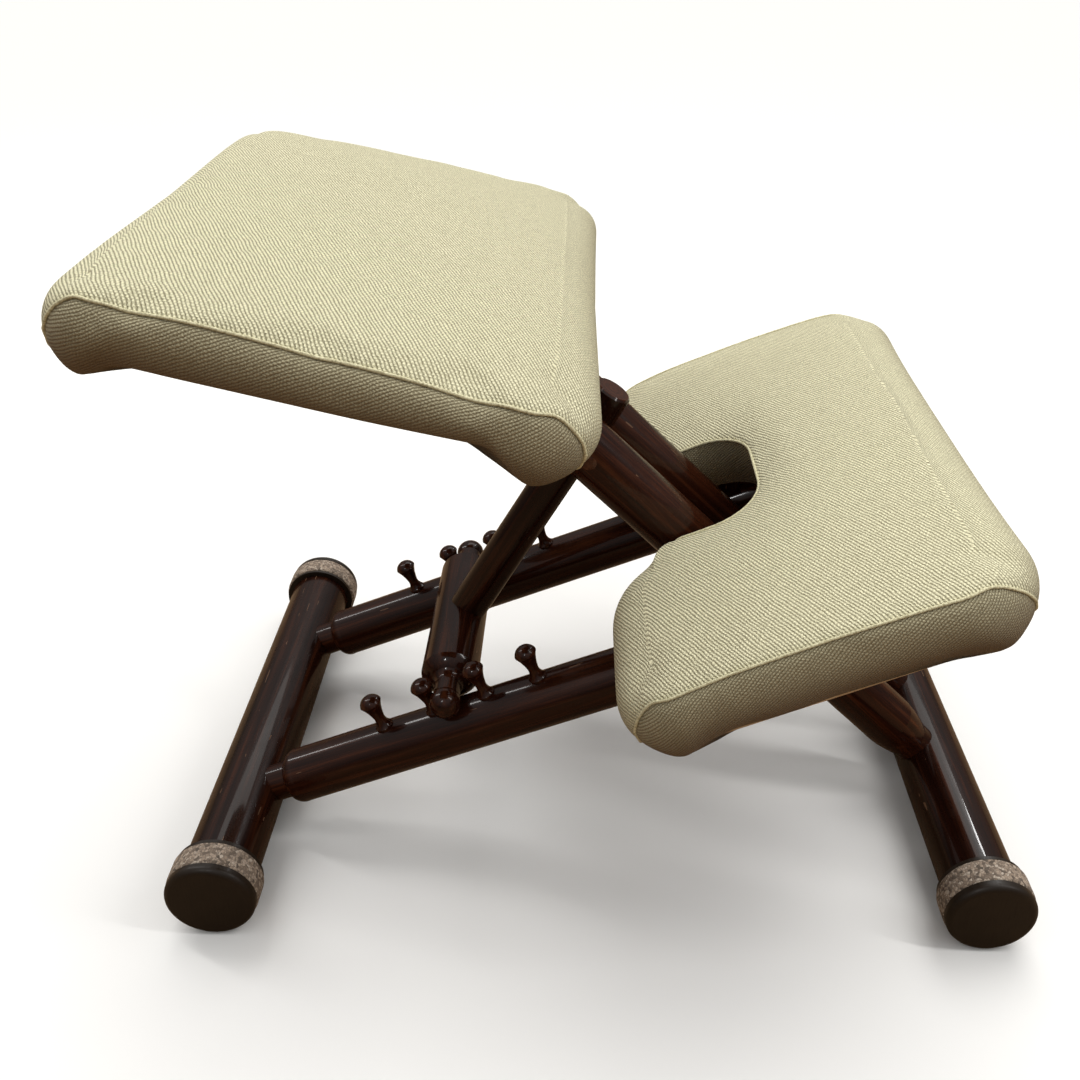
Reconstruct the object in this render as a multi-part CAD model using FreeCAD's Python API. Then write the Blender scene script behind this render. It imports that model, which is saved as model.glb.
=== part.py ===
"""Folding kneeling chair: two scissored wooden frames, a prop on pegs, a seat pad and a notched knee pad.

Millimetres. +X runs forward from the seat to the knee pad, +Y is the sitter's left, +Z is up.
The origin is on the floor, midway between the two crossbars and on the centre plane.
Each sub-part is one function that returns its shape, and the table at the end names the file of each.
"""

import FreeCAD, Part
import math
import os

V = FreeCAD.Vector
ALONG_X = V(1, 0, 0)
ALONG_Y = V(0, 1, 0)
ALONG_Z = V(0, 0, 1)
SIDES = {"left": 1, "right": -1}

# Driving sizes of the frame
crossbar_spacing = 604.0        # rear crossbar axis to front crossbar axis
crossbar_radius = 29.4
crossbar_overall = 440.0        # over the caps on its ends
rail_angle = 23.2               # the rails climb forward from the rear crossbar
rail_spread = 101.0             # centre plane to a rail's axis
rail_radius = 22.8
rail_end_reach = 156.6          # the rails' front ends, past the main pivots
rail_neck_radius = 15.5
rail_neck_length = 12.6         # crossbar's surface to where the neck swells into the rail
rail_shoulder = 12.0            # length of that swelling
beam_angle = 44.06              # the beams climb backward from the front crossbar
beam_radius = 23.6
strut_gap = 1.9                 # beam's inner side to the prop's strut, which a washer fills
beam_length = 574.0             # front crossbar axis to the seat bearer, along the beam
beam_foot_radius = 17.5
beam_foot_reach = 32.6          # crossbar's surface to where the beam has its full radius
end_rounding = 4.0
tenon_radius = 11.0
tenon_depth = 14.0              # how far a tenon enters the crossbar, past its surface

# Crossbar ends: plastic hub and cork ring
cork_thickness = 4.2
cork_width = 21.0
cork_rounding = 3.0
floor_flat = 0.25               # the cork is pressed flat by this much where it stands
hub_disc_thickness = 8.0
hub_disc_inset = 0.7            # the disc's edge, in from the cork's
hub_disc_rounding = 5.0
hub_sleeve_wall = 2.4
hub_flange_thickness = 3.0
hub_flange_inset = 1.6
hub_skin = 4.0                  # plastic in front of the crossbar's end

# Pegs on the rails
peg_count = 4
peg_first = 142.0               # rear crossbar axis to the first peg, along the rail
peg_pitch = 46.1
peg_base_radius = 7.6
peg_waist_radius = 4.7
peg_head_radius = 9.2
peg_waist_height = 11.5         # above the rail's top
peg_head_height = 25.6          # above the rail's top, to the head's widest circle
peg_height = 32.0
turned_tip_radius = 0.8         # small flat left at the tip of a turned piece
peg_tenon_radius = 5.0
peg_tenon_depth = 16.0

# Prop: a strut hung between the beams, with a turned crossbar that rests on the rails
prop_peg = 2                    # the prop rests just in front of this peg, counted from the rear
prop_hinge_reach = 443.0        # front crossbar axis to the prop's hinge, along the beam
prop_bar_radius = 23.8
prop_barrel_gap = 2.2           # full-radius barrel's end to the rail's inner side
prop_neck_radius = 10.9
prop_ball_radius = 12.8
prop_ball_reach = 10.8          # rail's axis to the ball's centre
strut_radius = 16.3
strut_overrun = 38.0            # the strut's end, past the hinge
strut_tenon_radius = 9.0
strut_tenon_depth = 15.0
rest_clearance = 0.3            # between pieces that touch in use but move apart
peg_clearance = 0.6             # prop's neck to the peg's waist

# Hinges
pivot_shank_radius = 5.0
running_clearance = 0.06
spot_face_depth = 2.5
spacer_radius = 14.0
bolt_head_radius = 9.0
bolt_head_height = 5.0
counterbore_radius = 10.5
counterbore_offset = 14.0       # counterbore floor, from the bar's axis
nut_radius = 8.0
nut_height = 6.0
prop_washer_radius = 10.0
beam_inner_face_cut = 1.0
strut_face_cut = 0.5
plug_radius = 5.8
plug_length = 7.0
plug_dome = 1.0

# Seat
seat_tilt = 10.0                # the seat falls toward the front
seat_bearer_offset = 89.7       # seat's own origin to where the beams meet the bearer
bearer_rear = 32.0              # along the seat, from its own origin
bearer_front = 127.0            # behind the front lip
bearer_width = 168.0
bearer_thickness = 18.0
seat_rear = -134.0              # along the seat, from its own origin
seat_front = 179.0
seat_rear_half_width = 223.0
seat_front_half_width = 255.0
seat_rear_corner = 46.0
seat_front_corner = 52.0
seat_crown = 10.5               # top of the pad above its side seams
seat_recess = 33.0              # side seams down to the board's underside
seat_rear_lip = 42.0            # side seams down to the rear lip
seat_front_lip = 56.0
seat_front_drop = 30.0          # the top's fall at the front, before it turns down
lip_length = 34.0
board_thickness = 12.0
board_inset = 9.0               # pad's outline to the board's, where the fabric wraps its edge

# Knee pad, in the rails' own directions: a reach is along them, from the main pivots
knee_rear_reach = -86.4
knee_front_reach = 192.6
knee_rear_half_width = 256.0
knee_front_half_width = 247.0
knee_rear_corner = 50.0
knee_front_corner = 72.0
knee_board_stand = 16.2         # rail's top to the board's underside
knee_lip_stand = 8.2            # rail's top to the lowest point of the lips
knee_top_stand = 74.2
knee_edge_round = 26.0
notch_beam_gap = 3.2            # beam's outer side to the notch
notch_apex_reach = 40.6
notch_corner = 44.0
notch_mouth = 66.0
board_notch_gap = 5.0           # pad's notch to the board's notch
knee_block_reach = -31.4
knee_block_length = 50.0
knee_block_gap = 18.6           # beam's outer side to the block's inner side
knee_block_width = 60.0
knee_batten_reach = 89.6
knee_batten_length = 48.0
knee_batten_half_width = 150.0

# Screws
screw_shank_radius = 2.5
screw_head_radius = 5.0
screw_head_height = 3.0
beam_screw_grip = 28.0          # of the bearer's screws in the beams
joint_bolt_radius = 4.0
joint_bolt_head_radius = 7.5
joint_bolt_head_height = 6.0
joint_bolt_grip = 60.0          # length in the rail or beam, past the crossbar's axis

# Places worked out from the sizes
beam_spread = strut_radius + strut_gap + beam_radius
rear_axis_x = -crossbar_spacing / 2
front_axis_x = crossbar_spacing / 2
cork_radius = crossbar_radius + hub_sleeve_wall + cork_thickness
hub_disc_radius = cork_radius - hub_disc_inset
hub_flange_radius = cork_radius - hub_flange_inset
axis_height = cork_radius - floor_flat
RAIL = math.radians(rail_angle)
BEAM = math.radians(beam_angle)
pivot_on_rail = crossbar_spacing * math.sin(BEAM) / math.sin(RAIL + BEAM)
pivot_on_beam = crossbar_spacing * math.sin(RAIL) / math.sin(RAIL + BEAM)
rail_length = pivot_on_rail + rail_end_reach
rail_neck_end = crossbar_radius + rail_neck_length
beam_foot_length = crossbar_radius + beam_foot_reach
prop_bar_half = rail_spread - rail_radius - prop_barrel_gap
prop_ball_spread = rail_spread + prop_ball_reach
prop_bar_along = peg_first + (prop_peg - 1) * peg_pitch + peg_waist_radius + prop_neck_radius + peg_clearance
prop_bar_height = rail_radius + prop_neck_radius + rest_clearance
knee_rear = pivot_on_rail + knee_rear_reach
knee_front = pivot_on_rail + knee_front_reach
knee_recess = rail_radius + knee_board_stand
knee_lip = rail_radius + knee_lip_stand
knee_top = rail_radius + knee_top_stand
notch_half_width = beam_spread + beam_radius + notch_beam_gap
notch_apex = pivot_on_rail + notch_apex_reach
knee_block_start = pivot_on_rail + knee_block_reach
knee_block_inner = beam_spread + beam_radius + knee_block_gap
knee_batten_start = pivot_on_rail + knee_batten_reach


def in_rails(shape):
    """Carries a shape from the rails' directions (X along, Z square to them) to its place."""
    shape.rotate(V(0, 0, 0), ALONG_Y, -rail_angle)
    shape.translate(V(rear_axis_x, 0, axis_height))
    return shape


def in_beams(shape):
    """Carries a shape from the beams' directions (X from the front crossbar upward) to its place."""
    shape.rotate(V(0, 0, 0), ALONG_Y, 180 + beam_angle)
    shape.translate(V(front_axis_x, 0, axis_height))
    return shape


def on_beam(reach):
    return V(front_axis_x - reach * math.cos(BEAM), 0, axis_height + reach * math.sin(BEAM))


def on_rail(reach, height):
    x = rear_axis_x + reach * math.cos(RAIL) - height * math.sin(RAIL)
    z = axis_height + reach * math.sin(RAIL) + height * math.cos(RAIL)
    return V(x, 0, z)


def in_seat(shape):
    """Carries a shape from the seat's directions (X forward along it, Z square to it) to its place."""
    tilt = math.radians(seat_tilt)
    forward = V(math.cos(tilt), 0, -math.sin(tilt))
    upward = V(math.sin(tilt), 0, math.cos(tilt))
    origin = on_beam(beam_length) - forward * seat_bearer_offset + upward * (seat_recess + bearer_thickness)
    shape.rotate(V(0, 0, 0), ALONG_Y, seat_tilt)
    shape.translate(origin)
    return shape


prop_hinge = on_beam(prop_hinge_reach)
prop_bar_centre = on_rail(prop_bar_along, prop_bar_height)
strut_length = (prop_hinge - prop_bar_centre).Length
strut_slope = math.degrees(math.atan2(prop_hinge.z - prop_bar_centre.z, prop_hinge.x - prop_bar_centre.x))
pivot = on_rail(pivot_on_rail, 0)
saddle_base = rail_radius - 6.0  # underside of the wooden blocks that straddle the rails


def in_prop(shape):
    """Carries a shape from the strut's directions (X from the prop crossbar to the hinge) to its place."""
    shape.rotate(V(0, 0, 0), ALONG_Y, -strut_slope)
    shape.translate(prop_bar_centre)
    return shape


# Shape helpers

def outline(points):
    """Closed wire in the XZ plane. A point is (x, z); three values (x, z, "arc") mark an arc's middle."""
    edges = []
    here = points[0]
    middle = None
    for point in list(points[1:]) + [points[0]]:
        if len(point) == 3:
            middle = V(point[0], 0, point[1])
            continue
        start = V(here[0], 0, here[1])
        end = V(point[0], 0, point[1])
        if middle is None:
            edges.append(Part.LineSegment(start, end).toShape())
        else:
            edges.append(Part.Arc(start, middle, end).toShape())
        middle = None
        here = point
    return Part.Wire(edges)


def turned(points):
    """A turned piece: an outline of (distance along X, radius) points, spun about X."""
    return Part.Face(outline(points)).revolve(V(0, 0, 0), ALONG_X, 360)


def rod(radius, start, end, direction=ALONG_X):
    return Part.makeCylinder(radius, end - start, direction * start, direction)


def cross_rod(radius, start, end, x=0.0, z=0.0):
    """A cylinder along Y from start to end."""
    return Part.makeCylinder(radius, end - start, V(x, start, z), ALONG_Y)


def rounded_plate(corners, bottom, top):
    """A plate between two heights whose plan has the corners (x, y, radius), each rounded by its arc."""
    edges = []
    ends = []
    count = len(corners)
    for index, (x, y, radius) in enumerate(corners):
        corner = V(x, y, bottom)
        before = V(corners[index - 1][0], corners[index - 1][1], bottom) - corner
        after = V(corners[(index + 1) % count][0], corners[(index + 1) % count][1], bottom) - corner
        before.normalize()
        after.normalize()
        half_angle = before.getAngle(after) / 2
        reach = radius / math.tan(half_angle)
        bisector = before + after
        bisector.normalize()
        middle = corner + bisector * (radius / math.sin(half_angle) - radius)
        start = corner + before * reach
        end = corner + after * reach
        edges.append(Part.Arc(start, middle, end).toShape())
        ends.append((start, end))
    lines = []
    for index, (start, end) in enumerate(ends):
        lines.append(edges[index])
        following = ends[(index + 1) % count][0]
        lines.append(Part.LineSegment(end, following).toShape())
    return Part.Face(Part.Wire(lines)).extrude(V(0, 0, top - bottom))


def both_sides(corners):
    """Adds the mirrored corners, so that a plan listed for +Y closes around the centre plane."""
    return corners + [(x, -y, radius) for x, y, radius in reversed(corners)]


def block(length, width, height, x, z):
    """A box centred on the centre plane, from x and z upward."""
    return Part.makeBox(length, width, height, V(x, -width / 2, z))


def group(shapes):
    return Part.makeCompound(shapes)


def on_side(shape, side, spread):
    return shape.translated(V(0, side * spread, 0))


# Crossbars with their hubs and cork rings

hub_inner_end = crossbar_overall / 2 - hub_disc_thickness - cork_width - hub_flange_thickness
crossbar_half = crossbar_overall / 2 - hub_skin


def crossbar(axis_x, joints):
    """A round bar across the chair, with a hole for each tenon and each joint bolt."""
    bar = cross_rod(crossbar_radius, -crossbar_half, crossbar_half, axis_x, axis_height)
    return bar.cut(group(joints))


def hub(axis_x, side):
    """A plastic cup over the crossbar's end: a domed disc, a sleeve and an inner flange."""
    outer = crossbar_overall / 2
    disc_start = outer - hub_disc_thickness
    sleeve = crossbar_radius + hub_sleeve_wall
    bend = hub_disc_rounding * (1 - math.sqrt(0.5))
    cup = turned([
        (hub_inner_end, crossbar_radius), (hub_inner_end, hub_flange_radius),
        (hub_inner_end + hub_flange_thickness, hub_flange_radius),
        (hub_inner_end + hub_flange_thickness, sleeve), (disc_start, sleeve),
        (disc_start, hub_disc_radius), (outer - hub_disc_rounding, hub_disc_radius),
        (outer - bend, hub_disc_radius - bend, "arc"), (outer, hub_disc_radius - hub_disc_rounding),
        (outer, 0), (crossbar_half, 0), (crossbar_half, crossbar_radius)])
    cup.rotate(V(0, 0, 0), ALONG_Z, 90 * side)
    cup.translate(V(axis_x, 0, axis_height))
    return cup


def cork_ring(axis_x, side):
    """A cork ring round the hub's sleeve, pressed a little flat where it stands on the floor."""
    start = hub_inner_end + hub_flange_thickness
    end = start + cork_width
    bend = cork_rounding * (1 - math.sqrt(0.5))
    ring = turned([
        (start, crossbar_radius + hub_sleeve_wall), (start, cork_radius - cork_rounding),
        (start + bend, cork_radius - bend, "arc"), (start + cork_rounding, cork_radius),
        (end - cork_rounding, cork_radius), (end - bend, cork_radius - bend, "arc"),
        (end, cork_radius - cork_rounding), (end, crossbar_radius + hub_sleeve_wall)])
    ring.rotate(V(0, 0, 0), ALONG_Z, 90 * side)
    ring.translate(V(axis_x, 0, axis_height))
    below_floor = block(2 * cork_radius, crossbar_overall, cork_radius, axis_x - cork_radius, -cork_radius)
    return ring.cut(below_floor)


def joint_bolt():
    """A bolt through a crossbar into the bar that stands on it, along X from the crossbar's far side."""
    head_end = -crossbar_radius + joint_bolt_head_height + 2.0
    shank = rod(joint_bolt_radius, head_end, joint_bolt_grip)
    head = rod(joint_bolt_head_radius, head_end - joint_bolt_head_height, head_end)
    return head.fuse(shank).removeSplitter()


def joint_bolt_bore():
    """The bolt's own shape, with its counterbore opened through the crossbar's surface."""
    return joint_bolt().fuse(rod(joint_bolt_head_radius, -2 * crossbar_radius, 0.0 - crossbar_radius + 2.0))


def tenon():
    """The round end of a rail or beam that is glued into a crossbar, along X."""
    return rod(tenon_radius, crossbar_radius - tenon_depth, rail_neck_end)


def bar_joints(place, spread):
    """What a crossbar loses to its two bars: their tenons and the bolts that hold them."""
    lost = [tenon().fuse(joint_bolt_bore()) for _ in SIDES]
    return [on_side(place(shape), side, spread) for shape, side in zip(lost, SIDES.values())]


def rear_crossbar():
    return crossbar(rear_axis_x, bar_joints(in_rails, rail_spread))


def front_crossbar():
    return crossbar(front_axis_x, bar_joints(in_beams, beam_spread))


def joint_bolts(place, spread):
    return group([on_side(place(joint_bolt()), side, spread) for side in SIDES.values()])


# Rails, with their pegs

def rail(side):
    """A round rail: a scribed neck and tenon at the crossbar, a swelling shoulder and a rounded front end."""
    shoulder_end = rail_neck_end + rail_shoulder
    bend = end_rounding * (1 - math.sqrt(0.5))
    swell = (rail_radius - rail_neck_radius)
    body = turned([
        (0, 0), (0, rail_neck_radius), (rail_neck_end, rail_neck_radius),
        (rail_neck_end + 0.29 * rail_shoulder, rail_neck_radius + 0.71 * swell, "arc"),
        (shoulder_end, rail_radius), (rail_length - end_rounding, rail_radius),
        (rail_length - bend, rail_radius - bend, "arc"), (rail_length, rail_radius - end_rounding),
        (rail_length, 0)])
    body = body.cut(cross_rod(crossbar_radius, -crossbar_overall, crossbar_overall))
    body = body.fuse(tenon()).cut(joint_bolt())
    flat = rail_radius - spot_face_depth
    cuts = [
        cross_rod(pivot_shank_radius, -2 * rail_radius, 2 * rail_radius, pivot_on_rail),
        cross_rod(spacer_radius + 0.5, -2 * rail_radius, -flat, pivot_on_rail),
        cross_rod(counterbore_radius, counterbore_offset, 2 * rail_radius, pivot_on_rail)]
    for index in range(peg_count):
        cuts.append(peg_at(index, rod(peg_tenon_radius, rail_radius - peg_tenon_depth, 2 * rail_radius)))
    body = body.cut(group(cuts)).removeSplitter()
    if side < 0:
        body = body.mirror(V(0, 0, 0), ALONG_Y)
    return in_rails(on_side(body, side, rail_spread))


def peg_at(index, shape):
    """Stands a shape made along X on the rail's top at one peg's place, still in the rail's directions."""
    shape.rotate(V(0, 0, 0), ALONG_Y, -90)
    shape.translate(V(peg_first + index * peg_pitch, 0, 0))
    return shape


def peg(side, index):
    """A turned mushroom peg: flared foot, narrow waist, wide rounded head, and a tenon in the rail."""
    top = rail_radius
    head = top + peg_head_height
    body = turned([
        (top - peg_tenon_depth, 0), (top - peg_tenon_depth, peg_tenon_radius),
        (top - 1.5, peg_tenon_radius), (top - 1.5, peg_base_radius), (top + 1.0, peg_base_radius),
        (top + 4.0, peg_waist_radius + 0.8, "arc"), (top + peg_waist_height, peg_waist_radius),
        (top + 0.72 * peg_head_height, peg_waist_radius + 1.6, "arc"), (head, peg_head_radius),
        (head + 0.66 * (peg_height - peg_head_height), 0.72 * peg_head_radius, "arc"),
        (top + peg_height, turned_tip_radius), (top + peg_height, 0)])
    body = body.cut(cross_section_below_rail())
    return in_rails(on_side(peg_at(index, body), side, rail_spread))


def cross_section_below_rail():
    """Keeps a peg's foot on the rail: the rail's own cylinder less the peg's tenon, in the peg's directions."""
    bar = Part.makeCylinder(rail_radius, 4 * rail_radius, V(0, 0, -2 * rail_radius), ALONG_Z)
    return bar.cut(rod(peg_tenon_radius, -2 * rail_radius, 2 * rail_radius))


# Beams

def beam(side):
    """A round beam: narrowed and scribed on the front crossbar, cut flush under the seat bearer."""
    foot = beam_foot_length
    body = turned([
        (0, 0), (0, beam_foot_radius), (0.55 * foot, beam_foot_radius + 1.0),
        (0.75 * foot, beam_foot_radius + 0.66 * (beam_radius - beam_foot_radius), "arc"), (foot, beam_radius),
        (beam_length + 3 * beam_radius, beam_radius), (beam_length + 3 * beam_radius, 0)])
    body = body.cut(cross_rod(crossbar_radius, -crossbar_overall, crossbar_overall))
    body = body.fuse(tenon()).cut(joint_bolt())
    outer_flat = beam_radius - spot_face_depth
    inner_flat = beam_radius - beam_inner_face_cut
    far = 2 * beam_radius
    cuts = [
        cross_rod(pivot_shank_radius + running_clearance, -far, far, pivot_on_beam),
        cross_rod(spacer_radius + 0.5, outer_flat, far, pivot_on_beam),
        cross_rod(counterbore_radius, -far, -counterbore_offset, pivot_on_beam),
        cross_rod(pivot_shank_radius, -far, far, prop_hinge_reach),
        cross_rod(plug_radius, beam_radius - plug_length, far, prop_hinge_reach),
        cross_rod(prop_washer_radius + 0.5, -far, -inner_flat, prop_hinge_reach)]
    body = body.cut(group(cuts))
    if side < 0:
        body = body.mirror(V(0, 0, 0), ALONG_Y)
    body = in_beams(on_side(body, side, beam_spread))
    above = block(900, 900, 300, seat_rear - 300, -seat_recess - bearer_thickness)
    lost = [in_seat(above)] + [in_seat(shape) for shape in bearer_screw_shapes()]
    return body.cut(group(lost)).removeSplitter()


# Main pivots, where the rails cross the beams

pivot_reach = {
    "head": rail_spread + counterbore_offset,
    "spacer_outer": rail_spread - rail_radius + spot_face_depth,
    "spacer_inner": beam_spread + beam_radius - spot_face_depth + rest_clearance,
    "nut": beam_spread - counterbore_offset - rest_clearance}


def at_pivot(shape, side):
    if side < 0:
        shape = shape.mirror(V(0, 0, 0), ALONG_Y)
    return shape.translated(pivot)


def pivot_bolt(side):
    shank = cross_rod(pivot_shank_radius, pivot_reach["nut"] - nut_height, pivot_reach["head"])
    head = cross_rod(bolt_head_radius, pivot_reach["head"], pivot_reach["head"] + bolt_head_height)
    socket = cross_rod(3.0, pivot_reach["head"] + 2.0, pivot_reach["head"] + 2 * bolt_head_height)
    return at_pivot(shank.fuse(head).cut(socket).removeSplitter(), side)


def pivot_spacer(side):
    ring = cross_rod(spacer_radius, pivot_reach["spacer_inner"], pivot_reach["spacer_outer"])
    return at_pivot(ring.cut(cross_rod(pivot_shank_radius, 0, rail_spread)), side)


def pivot_nut(side):
    """A round-cornered hexagon nut, as a prism between its two faces."""
    corners = [V(nut_radius * math.cos(a), 0, nut_radius * math.sin(a)) for a in hexagon_angles()]
    face = Part.Face(Part.makePolygon(corners + corners[:1]))
    nut = face.extrude(V(0, nut_height, 0)).translated(V(0, pivot_reach["nut"] - nut_height, 0))
    return at_pivot(nut.cut(cross_rod(pivot_shank_radius, 0, rail_spread)), side)


def hexagon_angles():
    return [math.radians(60 * corner) for corner in range(6)]


# Prop

def prop_crossbar():
    """A turned bar: a barrel, a domed shoulder and a neck over each rail, and a ball at each end."""
    ball_start = prop_ball_spread - math.sqrt(prop_ball_radius ** 2 - prop_neck_radius ** 2)
    half = [
        (0, 0), (0, prop_bar_radius), (prop_bar_half, prop_bar_radius),
        (prop_bar_half + 5.5, prop_bar_radius - 4.2, "arc"),
        (prop_bar_half + 9.0, prop_neck_radius + 3.6),
        (prop_bar_half + 12.0, prop_neck_radius + 1.1, "arc"), (prop_bar_half + 17.0, prop_neck_radius),
        (ball_start, prop_neck_radius),
        (prop_ball_spread + 0.5 * prop_ball_radius, prop_ball_radius * math.sqrt(0.75), "arc"),
        (prop_ball_spread + prop_ball_radius, 0)]
    left = turned(half)
    left.rotate(V(0, 0, 0), ALONG_Z, 90)
    bar = left.fuse(left.mirror(V(0, 0, 0), ALONG_Y)).removeSplitter()
    strut_end = rod(strut_tenon_radius, prop_bar_radius - strut_tenon_depth, 2 * prop_bar_radius)
    return in_prop(bar.cut(strut_end).cut(prop_screw_shape()))


def prop_screw_shape():
    """A screw from under the prop crossbar into the strut, along X."""
    head_start = -prop_bar_radius
    head = rod(screw_head_radius, head_start - 5.0, head_start + screw_head_height)
    return head.fuse(rod(screw_shank_radius, head_start, 1.6 * prop_bar_radius))


def prop_screw():
    outside = cross_rod(prop_bar_radius, -prop_bar_half, prop_bar_half)
    return in_prop(prop_screw_shape().common(outside.fuse(rod(strut_radius, 0, strut_length))).removeSplitter())


def prop_strut():
    """The strut: a tenon and a scribed foot on the prop crossbar, a hinge bore, a bevelled top end."""
    top = strut_length + strut_overrun
    bevel = 2.0
    body = turned([
        (0, 0), (0, strut_radius), (top - bevel, strut_radius), (top, strut_radius - bevel), (top, 0)])
    body = body.cut(cross_rod(prop_bar_radius, -prop_bar_half, prop_bar_half))
    body = body.fuse(rod(strut_tenon_radius, prop_bar_radius - strut_tenon_depth, 2 * prop_bar_radius))
    flat = strut_radius - strut_face_cut
    cuts = [
        prop_screw_shape(),
        cross_rod(pivot_shank_radius + running_clearance, -2 * strut_radius, 2 * strut_radius, strut_length),
        cross_rod(prop_washer_radius + 0.5, flat, 2 * strut_radius, strut_length),
        cross_rod(prop_washer_radius + 0.5, -2 * strut_radius, -flat, strut_length)]
    return in_prop(body.cut(group(cuts)).removeSplitter())


def prop_pin():
    reach = beam_spread + beam_radius - plug_length
    return cross_rod(pivot_shank_radius, -reach, reach, prop_hinge.x, prop_hinge.z)


def prop_washers():
    inner = strut_radius - strut_face_cut + rest_clearance
    outer = beam_spread - beam_radius + beam_inner_face_cut
    ring = cross_rod(prop_washer_radius, inner, outer).cut(cross_rod(pivot_shank_radius, 0, rail_spread))
    rings = [ring, ring.mirror(V(0, 0, 0), ALONG_Y)]
    return group([shape.translated(prop_hinge) for shape in rings])


def pin_plugs():
    """Turned wood plugs that cover the pin's ends and stand a little proud of the beams."""
    start = beam_spread + beam_radius - plug_length
    face = beam_spread + beam_radius
    plug = turned([
        (start, 0), (start, plug_radius), (face, plug_radius),
        (face + 0.8 * plug_dome, 0.6 * plug_radius, "arc"), (face + plug_dome, turned_tip_radius),
        (face + plug_dome, 0)])
    plug.rotate(V(0, 0, 0), ALONG_Z, 90)
    plugs = [plug, plug.mirror(V(0, 0, 0), ALONG_Y)]
    return group([shape.translated(prop_hinge) for shape in plugs])


# Seat

def seat_plan(inset):
    return both_sides([
        (seat_front - inset, seat_front_half_width - inset, seat_front_corner - inset),
        (seat_rear + inset, seat_rear_half_width - inset, seat_rear_corner - inset)])


def seat_side():
    """The seat pad's outline from the side: crowned top, turned-down front and rear, a lip under each."""
    return outline([
        (seat_rear + 14, 0.5 * seat_crown), (0.5 * (seat_rear + seat_front) - 12, seat_crown, "arc"),
        (seat_front - 58, -0.25 * seat_front_drop),
        (seat_front - 14, -seat_front_drop, "arc"), (seat_front, -seat_front_drop - 14),
        (seat_front - 3, -seat_front_lip + 9, "arc"), (seat_front - 22, -seat_front_lip),
        (seat_front - 36, -seat_front_lip + 8, "arc"), (seat_front - lip_length - 14, -seat_recess),
        (seat_rear + lip_length, -seat_recess),
        (seat_rear + 0.6 * lip_length, -seat_rear_lip + 2, "arc"), (seat_rear + 13, -seat_rear_lip),
        (seat_rear + 2, -seat_rear_lip + 8, "arc"), (seat_rear, -0.45 * seat_rear_lip),
        (seat_rear + 3, -2, "arc")])


def slab_between(side_wire, half_width):
    """An outline in the XZ plane carried across the chair."""
    face = Part.Face(side_wire.translated(V(0, -half_width, 0)))
    return face.extrude(V(0, 2 * half_width, 0))


def seat_board_shape():
    plate = rounded_plate(seat_plan(board_inset), -seat_recess, -seat_recess + board_thickness)
    room = block(seat_front - seat_rear - 2 * lip_length - 14, 2 * seat_front_half_width, 60,
                 seat_rear + lip_length, -seat_recess - 5)
    return plate.common(room)


def seat_pad():
    body = slab_between(seat_side(), seat_front_half_width + 10)
    body = body.common(rounded_plate(seat_plan(0), -2 * seat_front_lip, 2 * seat_crown))
    return in_seat(body.cut(seat_board_shape()))


def screw(length):
    """A countersunk wood screw along X: its head's flat top at 0, its point at length."""
    return turned([
        (0, 0), (0, screw_head_radius), (screw_head_height, screw_shank_radius),
        (length - 4, screw_shank_radius), (length, 0)])


def upright_screw(length, x, y, z, spin=-90):
    """Stands a screw at a point: pointing up at -90, pointing down at 90."""
    shape = screw(length)
    shape.rotate(V(0, 0, 0), ALONG_Y, spin)
    return shape.translated(V(x, y, z))


def seat_screw_shapes():
    """Four screws up through the bearer into the seat board, outside the beams."""
    length = bearer_thickness + board_thickness - 2
    spread = bearer_width / 2 - 12
    places = [(x, side * spread) for x in (bearer_rear + 14, bearer_front - 14) for side in (1, -1)]
    return [upright_screw(length, x, y, -seat_recess - bearer_thickness) for x, y in places]


def bearer_screw_shapes():
    """Four screws down through the bearer into the beams' upper ends."""
    top = -seat_recess
    length = bearer_thickness + beam_screw_grip
    places = [(seat_bearer_offset + shift, side * beam_spread) for shift in (1, 20) for side in (1, -1)]
    return [upright_screw(length, x, y, top, 90) for x, y in places]


def seat_bearer():
    plate = rounded_plate(both_sides([
        (bearer_front, bearer_width / 2, 14), (bearer_rear, bearer_width / 2, 14)]),
        -seat_recess - bearer_thickness, -seat_recess)
    return in_seat(plate.cut(group(seat_screw_shapes() + bearer_screw_shapes())))


def seat_board():
    return in_seat(seat_board_shape().cut(group(seat_screw_shapes())))


def seat_screws():
    return group([in_seat(shape) for shape in seat_screw_shapes()])


def bearer_screws():
    return group([in_seat(shape) for shape in bearer_screw_shapes()])


# Knee pad

def knee_plan(inset, notch_gap):
    return both_sides([
        (knee_front - inset, knee_front_half_width - inset, knee_front_corner - inset),
        (knee_rear + inset, knee_rear_half_width - inset, knee_rear_corner - inset),
        (knee_rear + inset, notch_half_width + notch_gap, notch_mouth),
        (notch_apex + notch_gap, notch_half_width + notch_gap, notch_corner)])


def knee_side():
    """The knee pad's outline from the side: gently crowned, with rounded ends and a lip under each."""
    edge = knee_edge_round
    return outline([
        (knee_rear + edge, knee_top - 7), (0.5 * (knee_rear + knee_front), knee_top, "arc"),
        (knee_front - edge - 12, knee_top - 6),
        (knee_front - 7, knee_top - 17, "arc"), (knee_front, knee_top - 34),
        (knee_front - 5, knee_lip + 14, "arc"), (knee_front - 30, knee_lip),
        (knee_front - 44, knee_lip + 3, "arc"), (knee_front - lip_length - 18, knee_recess),
        (knee_rear + lip_length + 18, knee_recess),
        (knee_rear + lip_length + 8, knee_lip + 3, "arc"), (knee_rear + 30, knee_lip),
        (knee_rear + 5, knee_lip + 14, "arc"), (knee_rear, knee_top - 34),
        (knee_rear + 7, knee_top - 16, "arc")])


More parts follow.
